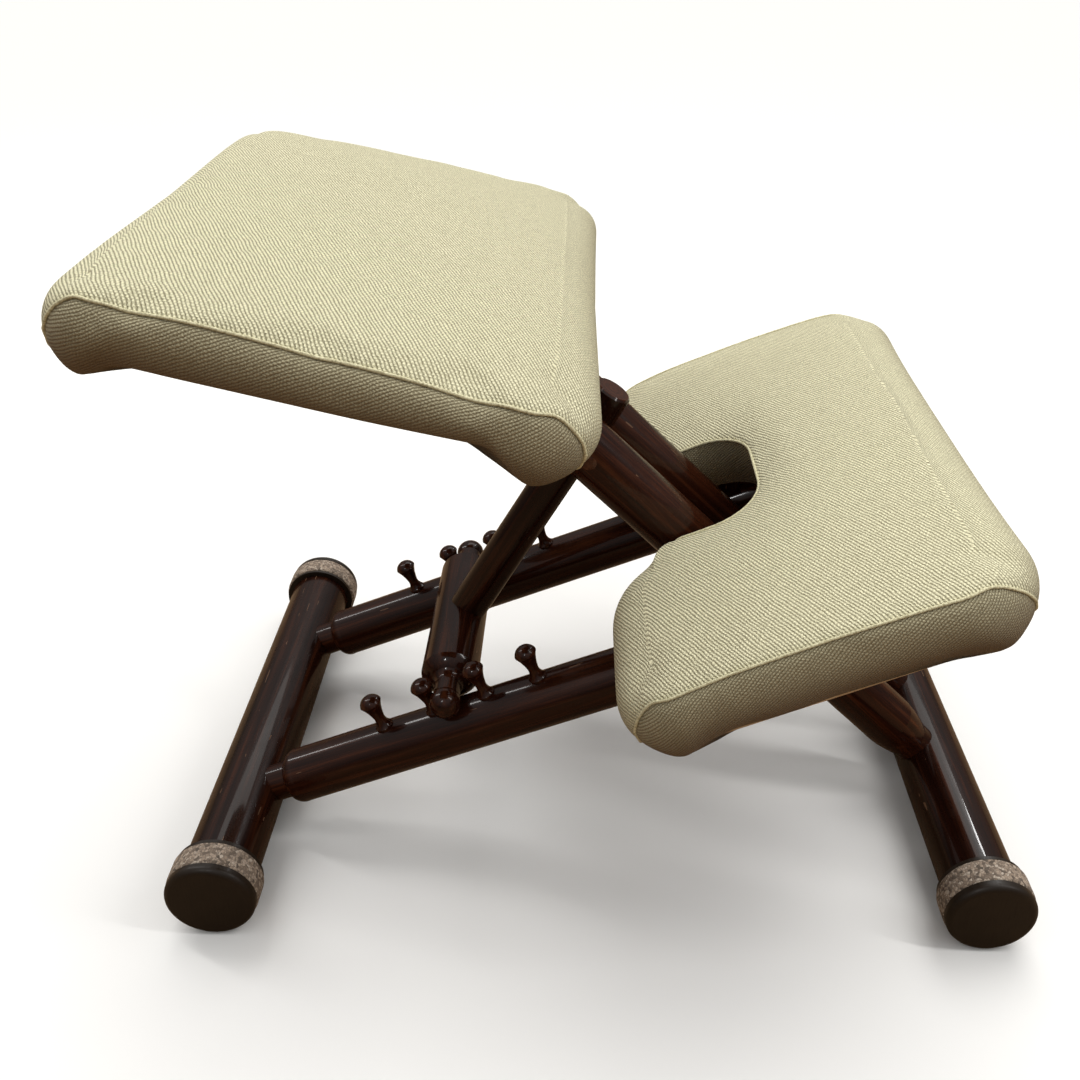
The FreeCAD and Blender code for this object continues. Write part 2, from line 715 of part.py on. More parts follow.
def knee_board_shape():
    plate = rounded_plate(knee_plan(board_inset, board_notch_gap), knee_recess, knee_recess + board_thickness)
    room = block(knee_front - knee_rear - 2 * lip_length - 36, 2 * knee_rear_half_width, 60,
                 knee_rear + lip_length + 18, knee_recess - 5)
    return plate.common(room)


def knee_pad():
    body = slab_between(knee_side(), knee_rear_half_width + 10)
    body = body.common(rounded_plate(knee_plan(0, 0), 0, 2 * knee_top))
    return in_rails(body.cut(knee_board_shape()))


def knee_screw_shapes():
    """Two screws up through each rear block and two through each end of the batten, into the board."""
    length = knee_recess - saddle_base + board_thickness - 2
    block_row = knee_block_inner + knee_block_width - 9
    batten_row = knee_batten_half_width - 14
    shapes = []
    for side in SIDES.values():
        for along in (14, knee_block_length - 14):
            shapes.append(upright_screw(length, knee_block_start + along, side * block_row, saddle_base))
        for along in (14, knee_batten_length - 14):
            shapes.append(upright_screw(length, knee_batten_start + along, side * batten_row, saddle_base))
    return shapes


def rail_screw_shapes():
    """Screws down through the blocks and the batten into the rails, under the board."""
    places = [knee_block_start + knee_block_length / 2, knee_batten_start + knee_batten_length / 2]
    return [upright_screw(36, x, side * rail_spread, knee_recess, 90) for x in places for side in SIDES.values()]


def rails_round():
    return group([rod(rail_radius, 0, rail_length).translated(V(0, side * rail_spread, 0))
                  for side in SIDES.values()])


def knee_block(side):
    """A saddle block on a rail under the knee board's rear part, reaching out past the rail for its screws."""
    body = Part.makeBox(knee_block_length, knee_block_width, knee_recess - saddle_base,
                        V(knee_block_start, knee_block_inner - rail_spread, saddle_base))
    if side < 0:
        body = body.mirror(V(0, 0, 0), ALONG_Y)
    body = on_side(body, side, rail_spread)
    return in_rails(body.cut(group(knee_screw_shapes() + rail_screw_shapes() + [rails_round()])))


def knee_batten():
    """A batten across both rails under the knee board's front part, hollowed to sit on them."""
    height = knee_recess - saddle_base
    body = block(knee_batten_length, 2 * knee_batten_half_width, height, knee_batten_start, saddle_base)
    return in_rails(body.cut(group(knee_screw_shapes() + rail_screw_shapes() + [rails_round()])))


def knee_board():
    return in_rails(knee_board_shape().cut(group(knee_screw_shapes())))


def knee_screws():
    return group([in_rails(shape) for shape in knee_screw_shapes()])


def rail_screws():
    return group([in_rails(shape) for shape in rail_screw_shapes()])


def rail_with_screw_holes(side):
    return rail(side).cut(rail_screws())


parts = {
    "rear_crossbar": rear_crossbar(),
    "front_crossbar": front_crossbar(),
    "rear_joint_bolts": joint_bolts(in_rails, rail_spread),
    "front_joint_bolts": joint_bolts(in_beams, beam_spread),
    "prop_crossbar": prop_crossbar(),
    "prop_strut": prop_strut(),
    "prop_screw": prop_screw(),
    "prop_pin": prop_pin(),
    "prop_washers": prop_washers(),
    "pin_plugs": pin_plugs(),
    "seat_pad": seat_pad(),
    "seat_board": seat_board(),
    "seat_bearer": seat_bearer(),
    "seat_screws": seat_screws(),
    "bearer_screws": bearer_screws(),
    "knee_pad": knee_pad(),
    "knee_board": knee_board(),
    "knee_batten": knee_batten(),
    "knee_screws": knee_screws(),
    "rail_screws": rail_screws()}
for name, side in SIDES.items():
    parts["rear_hub_" + name] = hub(rear_axis_x, side)
    parts["front_hub_" + name] = hub(front_axis_x, side)
    parts["rear_cork_" + name] = cork_ring(rear_axis_x, side)
    parts["front_cork_" + name] = cork_ring(front_axis_x, side)
    parts["rail_" + name] = rail_with_screw_holes(side)
    parts["beam_" + name] = beam(side)
    parts["knee_block_" + name] = knee_block(side)
    parts["pivot_bolt_" + name] = pivot_bolt(side)
    parts["pivot_spacer_" + name] = pivot_spacer(side)
    parts["pivot_nut_" + name] = pivot_nut(side)
    for index in range(peg_count):
        parts["peg_%s_%d" % (name, index + 1)] = peg(side, index)

os.makedirs("parts", exist_ok=True)
for node, shape in parts.items():
    shape.exportStep("parts/" + node + ".step")
    box = shape.BoundBox
    print("%-18s %d solids, valid %s, %.1f cm3, x %.1f..%.1f y %.1f..%.1f z %.1f..%.1f" % (
        node, len(shape.Solids), shape.isValid(), shape.Volume / 1000,
        box.XMin, box.XMax, box.YMin, box.YMax, box.ZMin, box.ZMax))
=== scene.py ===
"""Folding kneeling chair: lacquered round-bar frame, wool-covered seat and knee pad, cork-ringed feet.

Metres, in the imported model's own frame: +X forward, +Y the sitter's left, +Z up, the floor at z = 0.
The sections follow the chair as it is put together, from the crossbars up to the two pads.
"""

import bpy
import math
import numpy as np
from mathutils import Matrix, Vector


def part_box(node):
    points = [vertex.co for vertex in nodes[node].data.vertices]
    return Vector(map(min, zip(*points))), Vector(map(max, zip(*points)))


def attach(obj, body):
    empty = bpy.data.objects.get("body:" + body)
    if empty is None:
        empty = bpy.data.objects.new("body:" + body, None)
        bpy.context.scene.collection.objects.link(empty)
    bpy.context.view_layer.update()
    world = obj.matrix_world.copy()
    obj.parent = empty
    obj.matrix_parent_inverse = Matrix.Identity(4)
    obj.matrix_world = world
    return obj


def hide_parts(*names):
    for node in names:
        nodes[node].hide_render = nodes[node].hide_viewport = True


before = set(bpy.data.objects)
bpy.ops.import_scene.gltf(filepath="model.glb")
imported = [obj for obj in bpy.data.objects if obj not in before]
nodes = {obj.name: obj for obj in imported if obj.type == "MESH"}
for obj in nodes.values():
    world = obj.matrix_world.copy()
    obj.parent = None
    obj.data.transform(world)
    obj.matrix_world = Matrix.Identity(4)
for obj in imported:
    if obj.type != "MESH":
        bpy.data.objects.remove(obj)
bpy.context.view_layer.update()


# --- The studio ---------------------------------------------------------------------------------
# A plain pale floor that runs out of sight, soft light from above, and the camera at the chair's right side.

scene = bpy.context.scene
scene.view_settings.view_transform = "Standard"

yaw, pitch, roll = (math.radians(a) for a in (-0.08, -28.85, 1.17))
ahead = Vector((math.sin(yaw) * math.cos(pitch), math.cos(yaw) * math.cos(pitch), math.sin(pitch)))
level = ahead.cross(Vector((0, 0, 1))).normalized()
above = level.cross(ahead)
across = level * math.cos(roll) + above * math.sin(roll)
upward = above * math.cos(roll) - level * math.sin(roll)
camera = bpy.data.objects.new("camera", bpy.data.cameras.new("camera"))
camera.data.lens = 36.68
camera.data.sensor_width = 36.0
camera.data.shift_x = -0.02938
camera.data.shift_y = -0.0544
camera.matrix_world = Matrix.Translation((-0.0282, -0.8018, 0.7339)) @ Matrix(
    (across, upward, -ahead)).transposed().to_4x4()
scene.collection.objects.link(camera)
scene.camera = camera


def area_light(name, place, target, width, height, power, colour=(1.0, 1.0, 1.0)):
    """A rectangular light at a place, turned to face a target."""
    lamp = bpy.data.objects.new(name, bpy.data.lights.new(name, "AREA"))
    lamp.data.shape = "RECTANGLE"
    lamp.data.size, lamp.data.size_y = width, height
    lamp.data.energy = power
    lamp.data.color = colour
    facing = (Vector(target) - Vector(place)).to_track_quat("-Z", "Y")
    lamp.matrix_world = Matrix.Translation(place) @ facing.to_matrix().to_4x4()
    scene.collection.objects.link(lamp)
    return lamp


ceiling = bpy.data.objects.new("ceiling_glow", bpy.data.lights.new("ceiling_glow", "SUN"))
ceiling.data.energy = 1.5
ceiling.data.angle = math.radians(50.0)
ceiling.data.color = (1.0, 0.985, 0.95)
ceiling.matrix_world = Vector((-0.1, -0.45, -1.0)).to_track_quat("-Z", "Y").to_matrix().to_4x4()
scene.collection.objects.link(ceiling)
area_light("right_strip", (1.5, -0.5, 1.9), (0.1, 0.0, 0.2), 0.12, 1.5, 14.0, (1.0, 0.99, 0.97))
area_light("left_strip", (-1.5, 0.6, 1.7), (-0.1, 0.0, 0.2), 0.12, 1.5, 12.0, (1.0, 0.99, 0.97))
for name, place in (("near_pane", (-0.75, -1.4, 1.75)), ("far_pane", (0.9, 1.3, 1.6))):
    pane = area_light(name, place, (0.0, 0.0, 0.2), 0.13, 0.24, 6.0)
    pane.visible_diffuse = False

world = bpy.data.worlds.new("studio_air")
scene.world = world
world.use_nodes = True
air = world.node_tree
backdrop = air.nodes["Background"]
backdrop.inputs["Strength"].default_value = 1.0
direction = air.nodes.new("ShaderNodeTexCoord")
height = air.nodes.new("ShaderNodeSeparateXYZ")
dome = air.nodes.new("ShaderNodeValToRGB")
dome.color_ramp.elements[0].position, dome.color_ramp.elements[0].color = 0.0, (0.10, 0.085, 0.07, 1)
dome.color_ramp.elements[1].position, dome.color_ramp.elements[1].color = 0.95, (0.95, 0.95, 0.94, 1)
sight = air.nodes.new("ShaderNodeLightPath")
seen = air.nodes.new("ShaderNodeMix")
seen.data_type = "RGBA"
seen.inputs[7].default_value = (0.985, 0.98, 0.965, 1)
air.links.new(direction.outputs["Generated"], height.inputs[0])
air.links.new(height.outputs["Z"], dome.inputs[0])
air.links.new(sight.outputs["Is Camera Ray"], seen.inputs[0])
air.links.new(dome.outputs[0], seen.inputs[6])
air.links.new(seen.outputs[2], backdrop.inputs["Color"])

floor_reach, rim_points, floor_height = 60, 96, -0.0006
turns = np.linspace(0, 2 * np.pi, rim_points, endpoint=False)
rim = np.c_[floor_reach * np.cos(turns), floor_reach * np.sin(turns), np.full(rim_points, floor_height)]
floor_mesh = bpy.data.meshes.new("studio_floor")
floor_mesh.from_pydata(rim.tolist(), [], [list(range(rim_points))])
floor = bpy.data.objects.new("studio_floor", floor_mesh)
scene.collection.objects.link(floor)
floor_paint = bpy.data.materials.new("studio_floor")
floor_paint.use_nodes = True
shader = floor_paint.node_tree.nodes["Principled BSDF"]
shader.inputs["Roughness"].default_value = 0.95
shader.inputs["Specular IOR Level"].default_value = 0.0
# what the floor throws back on the chair is the warmer, darker light of a wooden room
sight = floor_paint.node_tree.nodes.new("ShaderNodeLightPath")
paint = floor_paint.node_tree.nodes.new("ShaderNodeMix")
paint.data_type = "RGBA"
paint.inputs[6].default_value = (0.30, 0.20, 0.12, 1)
paint.inputs[7].default_value = (0.90, 0.895, 0.885, 1)
floor_paint.node_tree.links.new(sight.outputs["Is Camera Ray"], paint.inputs[0])
floor_paint.node_tree.links.new(paint.outputs[2], shader.inputs["Base Color"])
floor_mesh.materials.append(floor_paint)


# --- Crossbars, rails and beams ---------------------------------------------------------------------
# Turned hardwood bars, stained nearly black-brown and lacquered to a gloss. The grain runs along each
# bar, pores show as short dark dashes, and rubbing has left faint pale scratches in the lacquer.

def node_maker(material):
    """Returns two helpers that add a node with its settings, and join an output to an input."""
    tree = material.node_tree

    def add(kind, settings=None, **inputs):
        made = tree.nodes.new(kind)
        for key, value in (settings or {}).items():
            setattr(made, key, value)
        for key, value in inputs.items():
            key = key.replace("_", " ")
            if isinstance(value, bpy.types.NodeSocket):
                tree.links.new(value, made.inputs[key])
            else:
                made.inputs[key].default_value = value
        return made

    def calc(operation, a, b=0.0, c=None):
        made = tree.nodes.new("ShaderNodeMath")
        made.operation = operation
        for socket, value in zip(made.inputs, (a, b) if c is None else (a, b, c)):
            if isinstance(value, bpy.types.NodeSocket):
                tree.links.new(value, socket)
            else:
                socket.default_value = value
        return made.outputs[0]

    return add, calc


def ramp(add, factor, stops):
    """A colour ramp through (position, colour) stops."""
    made = add("ShaderNodeValToRGB", Fac=factor)
    elements = made.color_ramp.elements
    while len(elements) < len(stops):
        elements.new(0.5)
    for element, (position, colour) in zip(elements, stops):
        element.position = position
        element.color = (*colour, 1)
    return made.outputs["Color"]


def blend(add, factor, a, b):
    """Mixes two colours, each a socket or a plain colour."""
    made = add("ShaderNodeMix", {"data_type": "RGBA"})
    tree = made.id_data
    for socket, value in ((made.inputs[0], factor), (made.inputs[6], a), (made.inputs[7], b)):
        if isinstance(value, bpy.types.NodeSocket):
            tree.links.new(value, socket)
        elif isinstance(value, (int, float)):
            socket.default_value = value
        else:
            socket.default_value = (*value, 1)
    return made.outputs[2]


def stained_wood(name, origin, turn, dark, mid, glint, ends=(), gloss=0.2):
    """Stained, lacquered wood with its grain along X after moving the origin and turning about Y, Z.

    Colour = three stains picked by noise stretched 26 times along the bar, darkened by broad noise, with
    pores where fine noise is under 0.40 and pale scratches inside worn patches. Bump = half the streaks
    plus a quarter of the pores, less half the scratches. Roughness = gloss plus up to 0.16 in smears.
    ends lists (from, to) along the bar where the cut end grain shows lighter.
    """
    made = bpy.data.materials.new(name)
    made.use_nodes = True
    add, calc = node_maker(made)
    shader = made.node_tree.nodes["Principled BSDF"]
    where = add("ShaderNodeTexCoord").outputs["Object"]
    place = add("ShaderNodeMapping", {"vector_type": "TEXTURE"}, Vector=where, Location=origin, Rotation=turn)
    along = place.outputs["Vector"]
    stretch = add("ShaderNodeMapping", Vector=along, Scale=(1.0, 26.0, 26.0)).outputs["Vector"]
    streaks = add("ShaderNodeTexNoise", Vector=stretch, Scale=7.0, Detail=6.0, Roughness=0.62, Distortion=0.5)
    fine = add("ShaderNodeTexNoise", Vector=add("ShaderNodeMapping", Vector=along, Scale=(30.0, 900.0, 900.0)
                                                ).outputs["Vector"], Scale=1.0, Detail=3.0, Roughness=0.6)
    broad = add("ShaderNodeTexNoise", Vector=add("ShaderNodeMapping", Vector=along, Scale=(3.0, 14.0, 14.0)
                                                 ).outputs["Vector"], Scale=1.0, Detail=2.0)
    tone = ramp(add, streaks.outputs["Fac"], [(0.32, dark), (0.52, mid), (0.74, glint)])
    tone = blend(add, calc("MULTIPLY", calc("SUBTRACT", 1.0, broad.outputs["Fac"]), 0.75), tone, dark)
    pores = calc("LESS_THAN", fine.outputs["Fac"], 0.40)
    tone = blend(add, calc("MULTIPLY", pores, 0.5), tone, (0.008, 0.0035, 0.002))
    scratch_place = add("ShaderNodeMapping", Vector=along, Scale=(28.0, 420.0, 120.0), Rotation=(0.3, 0.25, 0.5))
    scratches = add("ShaderNodeTexNoise", Vector=scratch_place.outputs["Vector"], Scale=1.0, Detail=1.0)
    patches = add("ShaderNodeTexNoise", Vector=where, Scale=24.0, Detail=2.0)
    worn = calc("MULTIPLY", calc("GREATER_THAN", scratches.outputs["Fac"], 0.735),
                calc("GREATER_THAN", patches.outputs["Fac"], 0.57))
    tone = blend(add, calc("MULTIPLY", worn, 0.55), tone, (0.22, 0.12, 0.07))
    if ends:
        reach = add("ShaderNodeSeparateXYZ", Vector=along).outputs["X"]
        rings = add("ShaderNodeTexWave", {"wave_type": "RINGS", "rings_direction": "X"}, Vector=along,
                    Scale=55.0, Distortion=3.0, Detail=2.0)
        cut = ramp(add, rings.outputs["Fac"], [(0.2, tuple(1.6 * v for v in mid)),
                                               (0.9, tuple(2.3 * v for v in mid))])
        for start, end in ends:
            inside = calc("MULTIPLY", calc("GREATER_THAN", reach, start), calc("LESS_THAN", reach, end))
            tone = blend(add, inside, tone, cut)
    made.node_tree.links.new(tone, shader.inputs["Base Color"])
    smears = add("ShaderNodeTexNoise", Vector=where, Scale=38.0, Detail=4.0, Roughness=0.6)
    rough = add("ShaderNodeMapRange", Value=smears.outputs["Fac"], From_Min=0.3, From_Max=0.75,
                To_Min=gloss, To_Max=gloss + 0.16)
    rubbed = calc("ADD", rough.outputs["Result"], calc("MULTIPLY", worn, 0.25))
    made.node_tree.links.new(rubbed, shader.inputs["Roughness"])
    lift = calc("ADD", calc("MULTIPLY", streaks.outputs["Fac"], 0.5),
                calc("SUBTRACT", calc("MULTIPLY", fine.outputs["Fac"], 0.25), calc("MULTIPLY", worn, 0.5)))
    bump = add("ShaderNodeBump", Strength=0.16, Distance=0.0008, Height=lift)
    made.node_tree.links.new(bump.outputs["Normal"], shader.inputs["Normal"])
    shader.inputs["Coat Weight"].default_value = 0.26
    shader.inputs["Coat Roughness"].default_value = 0.055
    shader.inputs["Specular IOR Level"].default_value = 0.07
    return made


def finish_node(name, material):
    """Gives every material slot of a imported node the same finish."""
    piece = nodes[name]
    if not piece.material_slots:
        piece.data.materials.append(material)
    for slot in piece.material_slots:
        slot.material = material


rail_turn = math.radians(23.2)
beam_turn = math.radians(44.06)
rear_axis = (-0.302, 0.0, 0.03575)
front_axis = (0.302, 0.0, 0.03575)
espresso = ((0.006, 0.0014, 0.0007), (0.022, 0.0058, 0.0024), (0.075, 0.021, 0.008))
russet = ((0.009, 0.0018, 0.0007), (0.034, 0.0082, 0.0030), (0.105, 0.029, 0.010))

for name, axis in (("rear_crossbar", rear_axis), ("front_crossbar", front_axis)):
    finish_node(name, stained_wood(name + "_stain", axis, (0, 0, math.radians(90)), *espresso))
for side, spread in (("left", 0.101), ("right", -0.101)):
    finish_node("rail_" + side, stained_wood("rail_%s_stain" % side, (rear_axis[0], spread, rear_axis[2]),
                                             (0, -rail_turn, 0), *russet, ends=((0.6105, 0.62),)))
for side, spread in (("left", 0.0418), ("right", -0.0418)):
    finish_node("beam_" + side, stained_wood("beam_%s_stain" % side, (front_axis[0], spread, front_axis[2]),
                                             (0, math.pi + beam_turn, 0), *russet))


# --- Pegs -------------------------------------------------------------------------------------------
# Eight little turned mushrooms of the same wood, four on each rail. Their grain stands upright, and
# handling has polished them more than the rails.

def middle_of(name):
    """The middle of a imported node's box."""
    return tuple(np.mean(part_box(name), axis=0))


peg_turn = (0, -rail_turn - math.radians(90), 0)
for side, spread in (("left", 0.101), ("right", -0.101)):
    for number in range(1, 5):
        name = "peg_%s_%d" % (side, number)
        finish_node(name, stained_wood(name + "_stain", middle_of(name), peg_turn, *russet, gloss=0.12))


# --- Prop -------------------------------------------------------------------------------------------
# A strut hung between the beams, and its turned crossbar with a ball at each end. The strut's sawn
# upper end shows lighter end grain under the lacquer.

bar_middle = middle_of("prop_crossbar")
hinge = middle_of("prop_pin")
lean = np.array(hinge) - bar_middle
strut_turn = math.atan2(lean[2], lean[0])
strut_reach = float(np.linalg.norm(lean))
finish_node("prop_crossbar", stained_wood("prop_crossbar_stain", bar_middle, (0, 0, math.radians(90)),
                                          *russet, gloss=0.14))
finish_node("prop_strut", stained_wood("prop_strut_stain", bar_middle, (0, -strut_turn, 0), *espresso,
                                       ends=((strut_reach + 0.0375, strut_reach + 0.047),)))
finish_node("pin_plugs", stained_wood("pin_plugs_stain", hinge, (0, 0, math.radians(90)),
                                      (0.03, 0.009, 0.004), (0.085, 0.03, 0.014), (0.16, 0.06, 0.028), gloss=0.22))
for name in ("seat_bearer", "knee_batten", "knee_block_left", "knee_block_right"):
    turn = math.radians(10.0) if name == "seat_bearer" else -rail_turn
    finish_node(name, stained_wood(name + "_stain", middle_of(name), (0, turn, math.radians(90)), *espresso,
                                   gloss=0.32))


# --- Crossbar ends: plastic hubs --------------------------------------------------------------------
# Injection-moulded brown-black caps, smooth and satin, a little scuffed on the face and the rim.

def moulded_plastic(name, colour):
    """Satin plastic: a flat colour broken by a soft mottling, with fine scuffs in its roughness."""
    made = bpy.data.materials.new(name)
    made.use_nodes = True
    add, calc = node_maker(made)
    shader = made.node_tree.nodes["Principled BSDF"]
    where = add("ShaderNodeTexCoord").outputs["Object"]
    mottle = add("ShaderNodeTexNoise", Vector=where, Scale=60.0, Detail=4.0)
    tone = ramp(add, mottle.outputs["Fac"], [(0.3, colour), (0.8, tuple(1.35 * v for v in colour))])
    made.node_tree.links.new(tone, shader.inputs["Base Color"])
    scuff = add("ShaderNodeTexNoise", Vector=add("ShaderNodeMapping", Vector=where, Scale=(700.0, 120.0, 90.0),
                                                 Rotation=(0.4, 0.0, 0.3)).outputs["Vector"], Scale=1.0, Detail=2.0)
    rough = add("ShaderNodeMapRange", Value=scuff.outputs["Fac"], From_Min=0.35, From_Max=0.75,
                To_Min=0.34, To_Max=0.52)
    made.node_tree.links.new(rough.outputs["Result"], shader.inputs["Roughness"])
    shader.inputs["Specular IOR Level"].default_value = 0.22
    grain = add("ShaderNodeTexNoise", Vector=where, Scale=900.0, Detail=2.0)
    bump = add("ShaderNodeBump", Strength=0.06, Distance=0.0003, Height=grain.outputs["Fac"])
    made.node_tree.links.new(bump.outputs["Normal"], shader.inputs["Normal"])
    return made


hub_plastic = moulded_plastic("hub_plastic", (0.0125, 0.0075, 0.0042))
for name in ("rear_hub_left", "rear_hub_right", "front_hub_left", "front_hub_right"):
    finish_node(name, hub_plastic)
for name in ("prop_washers", "pivot_spacer_left", "pivot_spacer_right"):
    finish_node(name, moulded_plastic(name + "_plastic", (0.02, 0.018, 0.016)))


# --- Cork rings -------------------------------------------------------------------------------------
# Pressed cork and rubber crumb round each hub: tan, grey and near-black grains, paler in soft noisy patches.

cork = bpy.data.materials.new("cork_crumb")
cork.use_nodes = True
add, calc = node_maker(cork)
shader = cork.node_tree.nodes["Principled BSDF"]
where = add("ShaderNodeTexCoord").outputs["Object"]
wobble = add("ShaderNodeTexNoise", Vector=where, Scale=260.0, Detail=2.0)
shifted = add("ShaderNodeVectorMath", {"operation": "MULTIPLY_ADD"})
cork.node_tree.links.new(wobble.outputs["Color"], shifted.inputs[0])
shifted.inputs[1].default_value = (0.0016, 0.0016, 0.0016)
cork.node_tree.links.new(where, shifted.inputs[2])
crumbs = add("ShaderNodeTexVoronoi", Vector=shifted.outputs[0], Scale=430.0, Randomness=1.0)
edges = add("ShaderNodeTexVoronoi", {"feature": "DISTANCE_TO_EDGE"}, Vector=shifted.outputs[0], Scale=430.0)
pick = add("ShaderNodeSeparateXYZ", Vector=crumbs.outputs["Color"]).outputs["X"]
tone = ramp(add, pick, [(0.0, (0.045, 0.030, 0.020)), (0.22, (0.15, 0.105, 0.075)), (0.5, (0.27, 0.20, 0.145)),
                        (0.8, (0.40, 0.31, 0.235)), (1.0, (0.52, 0.44, 0.36))])
seams = calc("LESS_THAN", edges.outputs["Distance"], 0.07)
tone = blend(add, calc("MULTIPLY", seams, 0.6), tone, (0.045, 0.032, 0.024))
dust = add("ShaderNodeTexNoise", Vector=where, Scale=70.0, Detail=5.0)
tone = blend(add, calc("MULTIPLY", dust.outputs["Fac"], 0.35), tone, (0.30, 0.25, 0.20))
cork.node_tree.links.new(tone, shader.inputs["Base Color"])
shader.inputs["Roughness"].default_value = 0.88
pits = calc("ADD", calc("MULTIPLY", edges.outputs["Distance"], 1.4), calc("MULTIPLY", pick, 0.5))
bump = add("ShaderNodeBump", Strength=0.8, Distance=0.0007, Height=pits)
cork.node_tree.links.new(bump.outputs["Normal"], shader.inputs["Normal"])
for name in ("rear_cork_left", "rear_cork_right", "front_cork_left", "front_cork_right"):
    finish_node(name, cork)


# --- Fastenings -------------------------------------------------------------------------------------
# Zinc-plated bolts, nuts, pin and wood screws: brushed, a little dull, with darker handling marks.

steel = bpy.data.materials.new("plated_steel")
steel.use_nodes = True
add, calc = node_maker(steel)
shader = steel.node_tree.nodes["Principled BSDF"]
where = add("ShaderNodeTexCoord").outputs["Object"]
marks = add("ShaderNodeTexNoise", Vector=where, Scale=180.0, Detail=5.0, Roughness=0.65)
tone = ramp(add, marks.outputs["Fac"], [(0.3, (0.30, 0.29, 0.27)), (0.7, (0.56, 0.55, 0.53))])
steel.node_tree.links.new(tone, shader.inputs["Base Color"])
shader.inputs["Metallic"].default_value = 1.0
rough = add("ShaderNodeMapRange", Value=marks.outputs["Fac"], From_Min=0.3, From_Max=0.7, To_Min=0.42, To_Max=0.28)
steel.node_tree.links.new(rough.outputs["Result"], shader.inputs["Roughness"])
for name in ("rear_joint_bolts", "front_joint_bolts", "prop_screw", "prop_pin", "seat_screws", "bearer_screws",
             "knee_screws", "rail_screws", "pivot_bolt_left", "pivot_bolt_right", "pivot_nut_left",
             "pivot_nut_right"):
    finish_node(name, steel)


# --- Boards under the pads --------------------------------------------------------------------------
# Birch plywood: pale faces with long figure, and glued layers of light and dark on the cut edges.

def plywood(name, origin, turn):
    """Plywood: face figure from stretched noise across Y, edge layers from bands along the board's Z."""
    made = bpy.data.materials.new(name)
    made.use_nodes = True
    add, calc = node_maker(made)
    shader = made.node_tree.nodes["Principled BSDF"]
    where = add("ShaderNodeTexCoord").outputs["Object"]
    flat = add("ShaderNodeMapping", {"vector_type": "TEXTURE"}, Vector=where, Location=origin, Rotation=turn)
    face = add("ShaderNodeTexNoise", Vector=add("ShaderNodeMapping", Vector=flat.outputs["Vector"],
                                                Scale=(60.0, 4.0, 60.0)).outputs["Vector"], Scale=1.0, Detail=5.0)
    layers = add("ShaderNodeTexWave", {"bands_direction": "Z"}, Vector=flat.outputs["Vector"], Scale=130.0,
                 Distortion=0.6)
    tone = ramp(add, face.outputs["Fac"], [(0.3, (0.42, 0.27, 0.14)), (0.7, (0.62, 0.45, 0.27))])
    tone = blend(add, calc("MULTIPLY", layers.outputs["Fac"], 0.35), tone, (0.24, 0.14, 0.07))
    made.node_tree.links.new(tone, shader.inputs["Base Color"])
    shader.inputs["Roughness"].default_value = 0.62
    bump = add("ShaderNodeBump", Strength=0.2, Distance=0.0004, Height=face.outputs["Fac"])
    made.node_tree.links.new(bump.outputs["Normal"], shader.inputs["Normal"])
    return made


for name, turn in (("seat_board", math.radians(10.0)), ("knee_board", -rail_turn)):
    finish_node(name, plywood(name + "_ply", middle_of(name), (0, turn, 0)))


# --- Seat pad ---------------------------------------------------------------------------------------
# A tapered cushion of foam on its board, wider in front, where it rolls down. It falls 10 degrees forward.
# One panel of cloth runs over the top and down the front and rear, and a side panel closes each end.
# The cloth is heavy pale sage wool, woven in slanting ribs of plump yarn floats with dark furrows between.

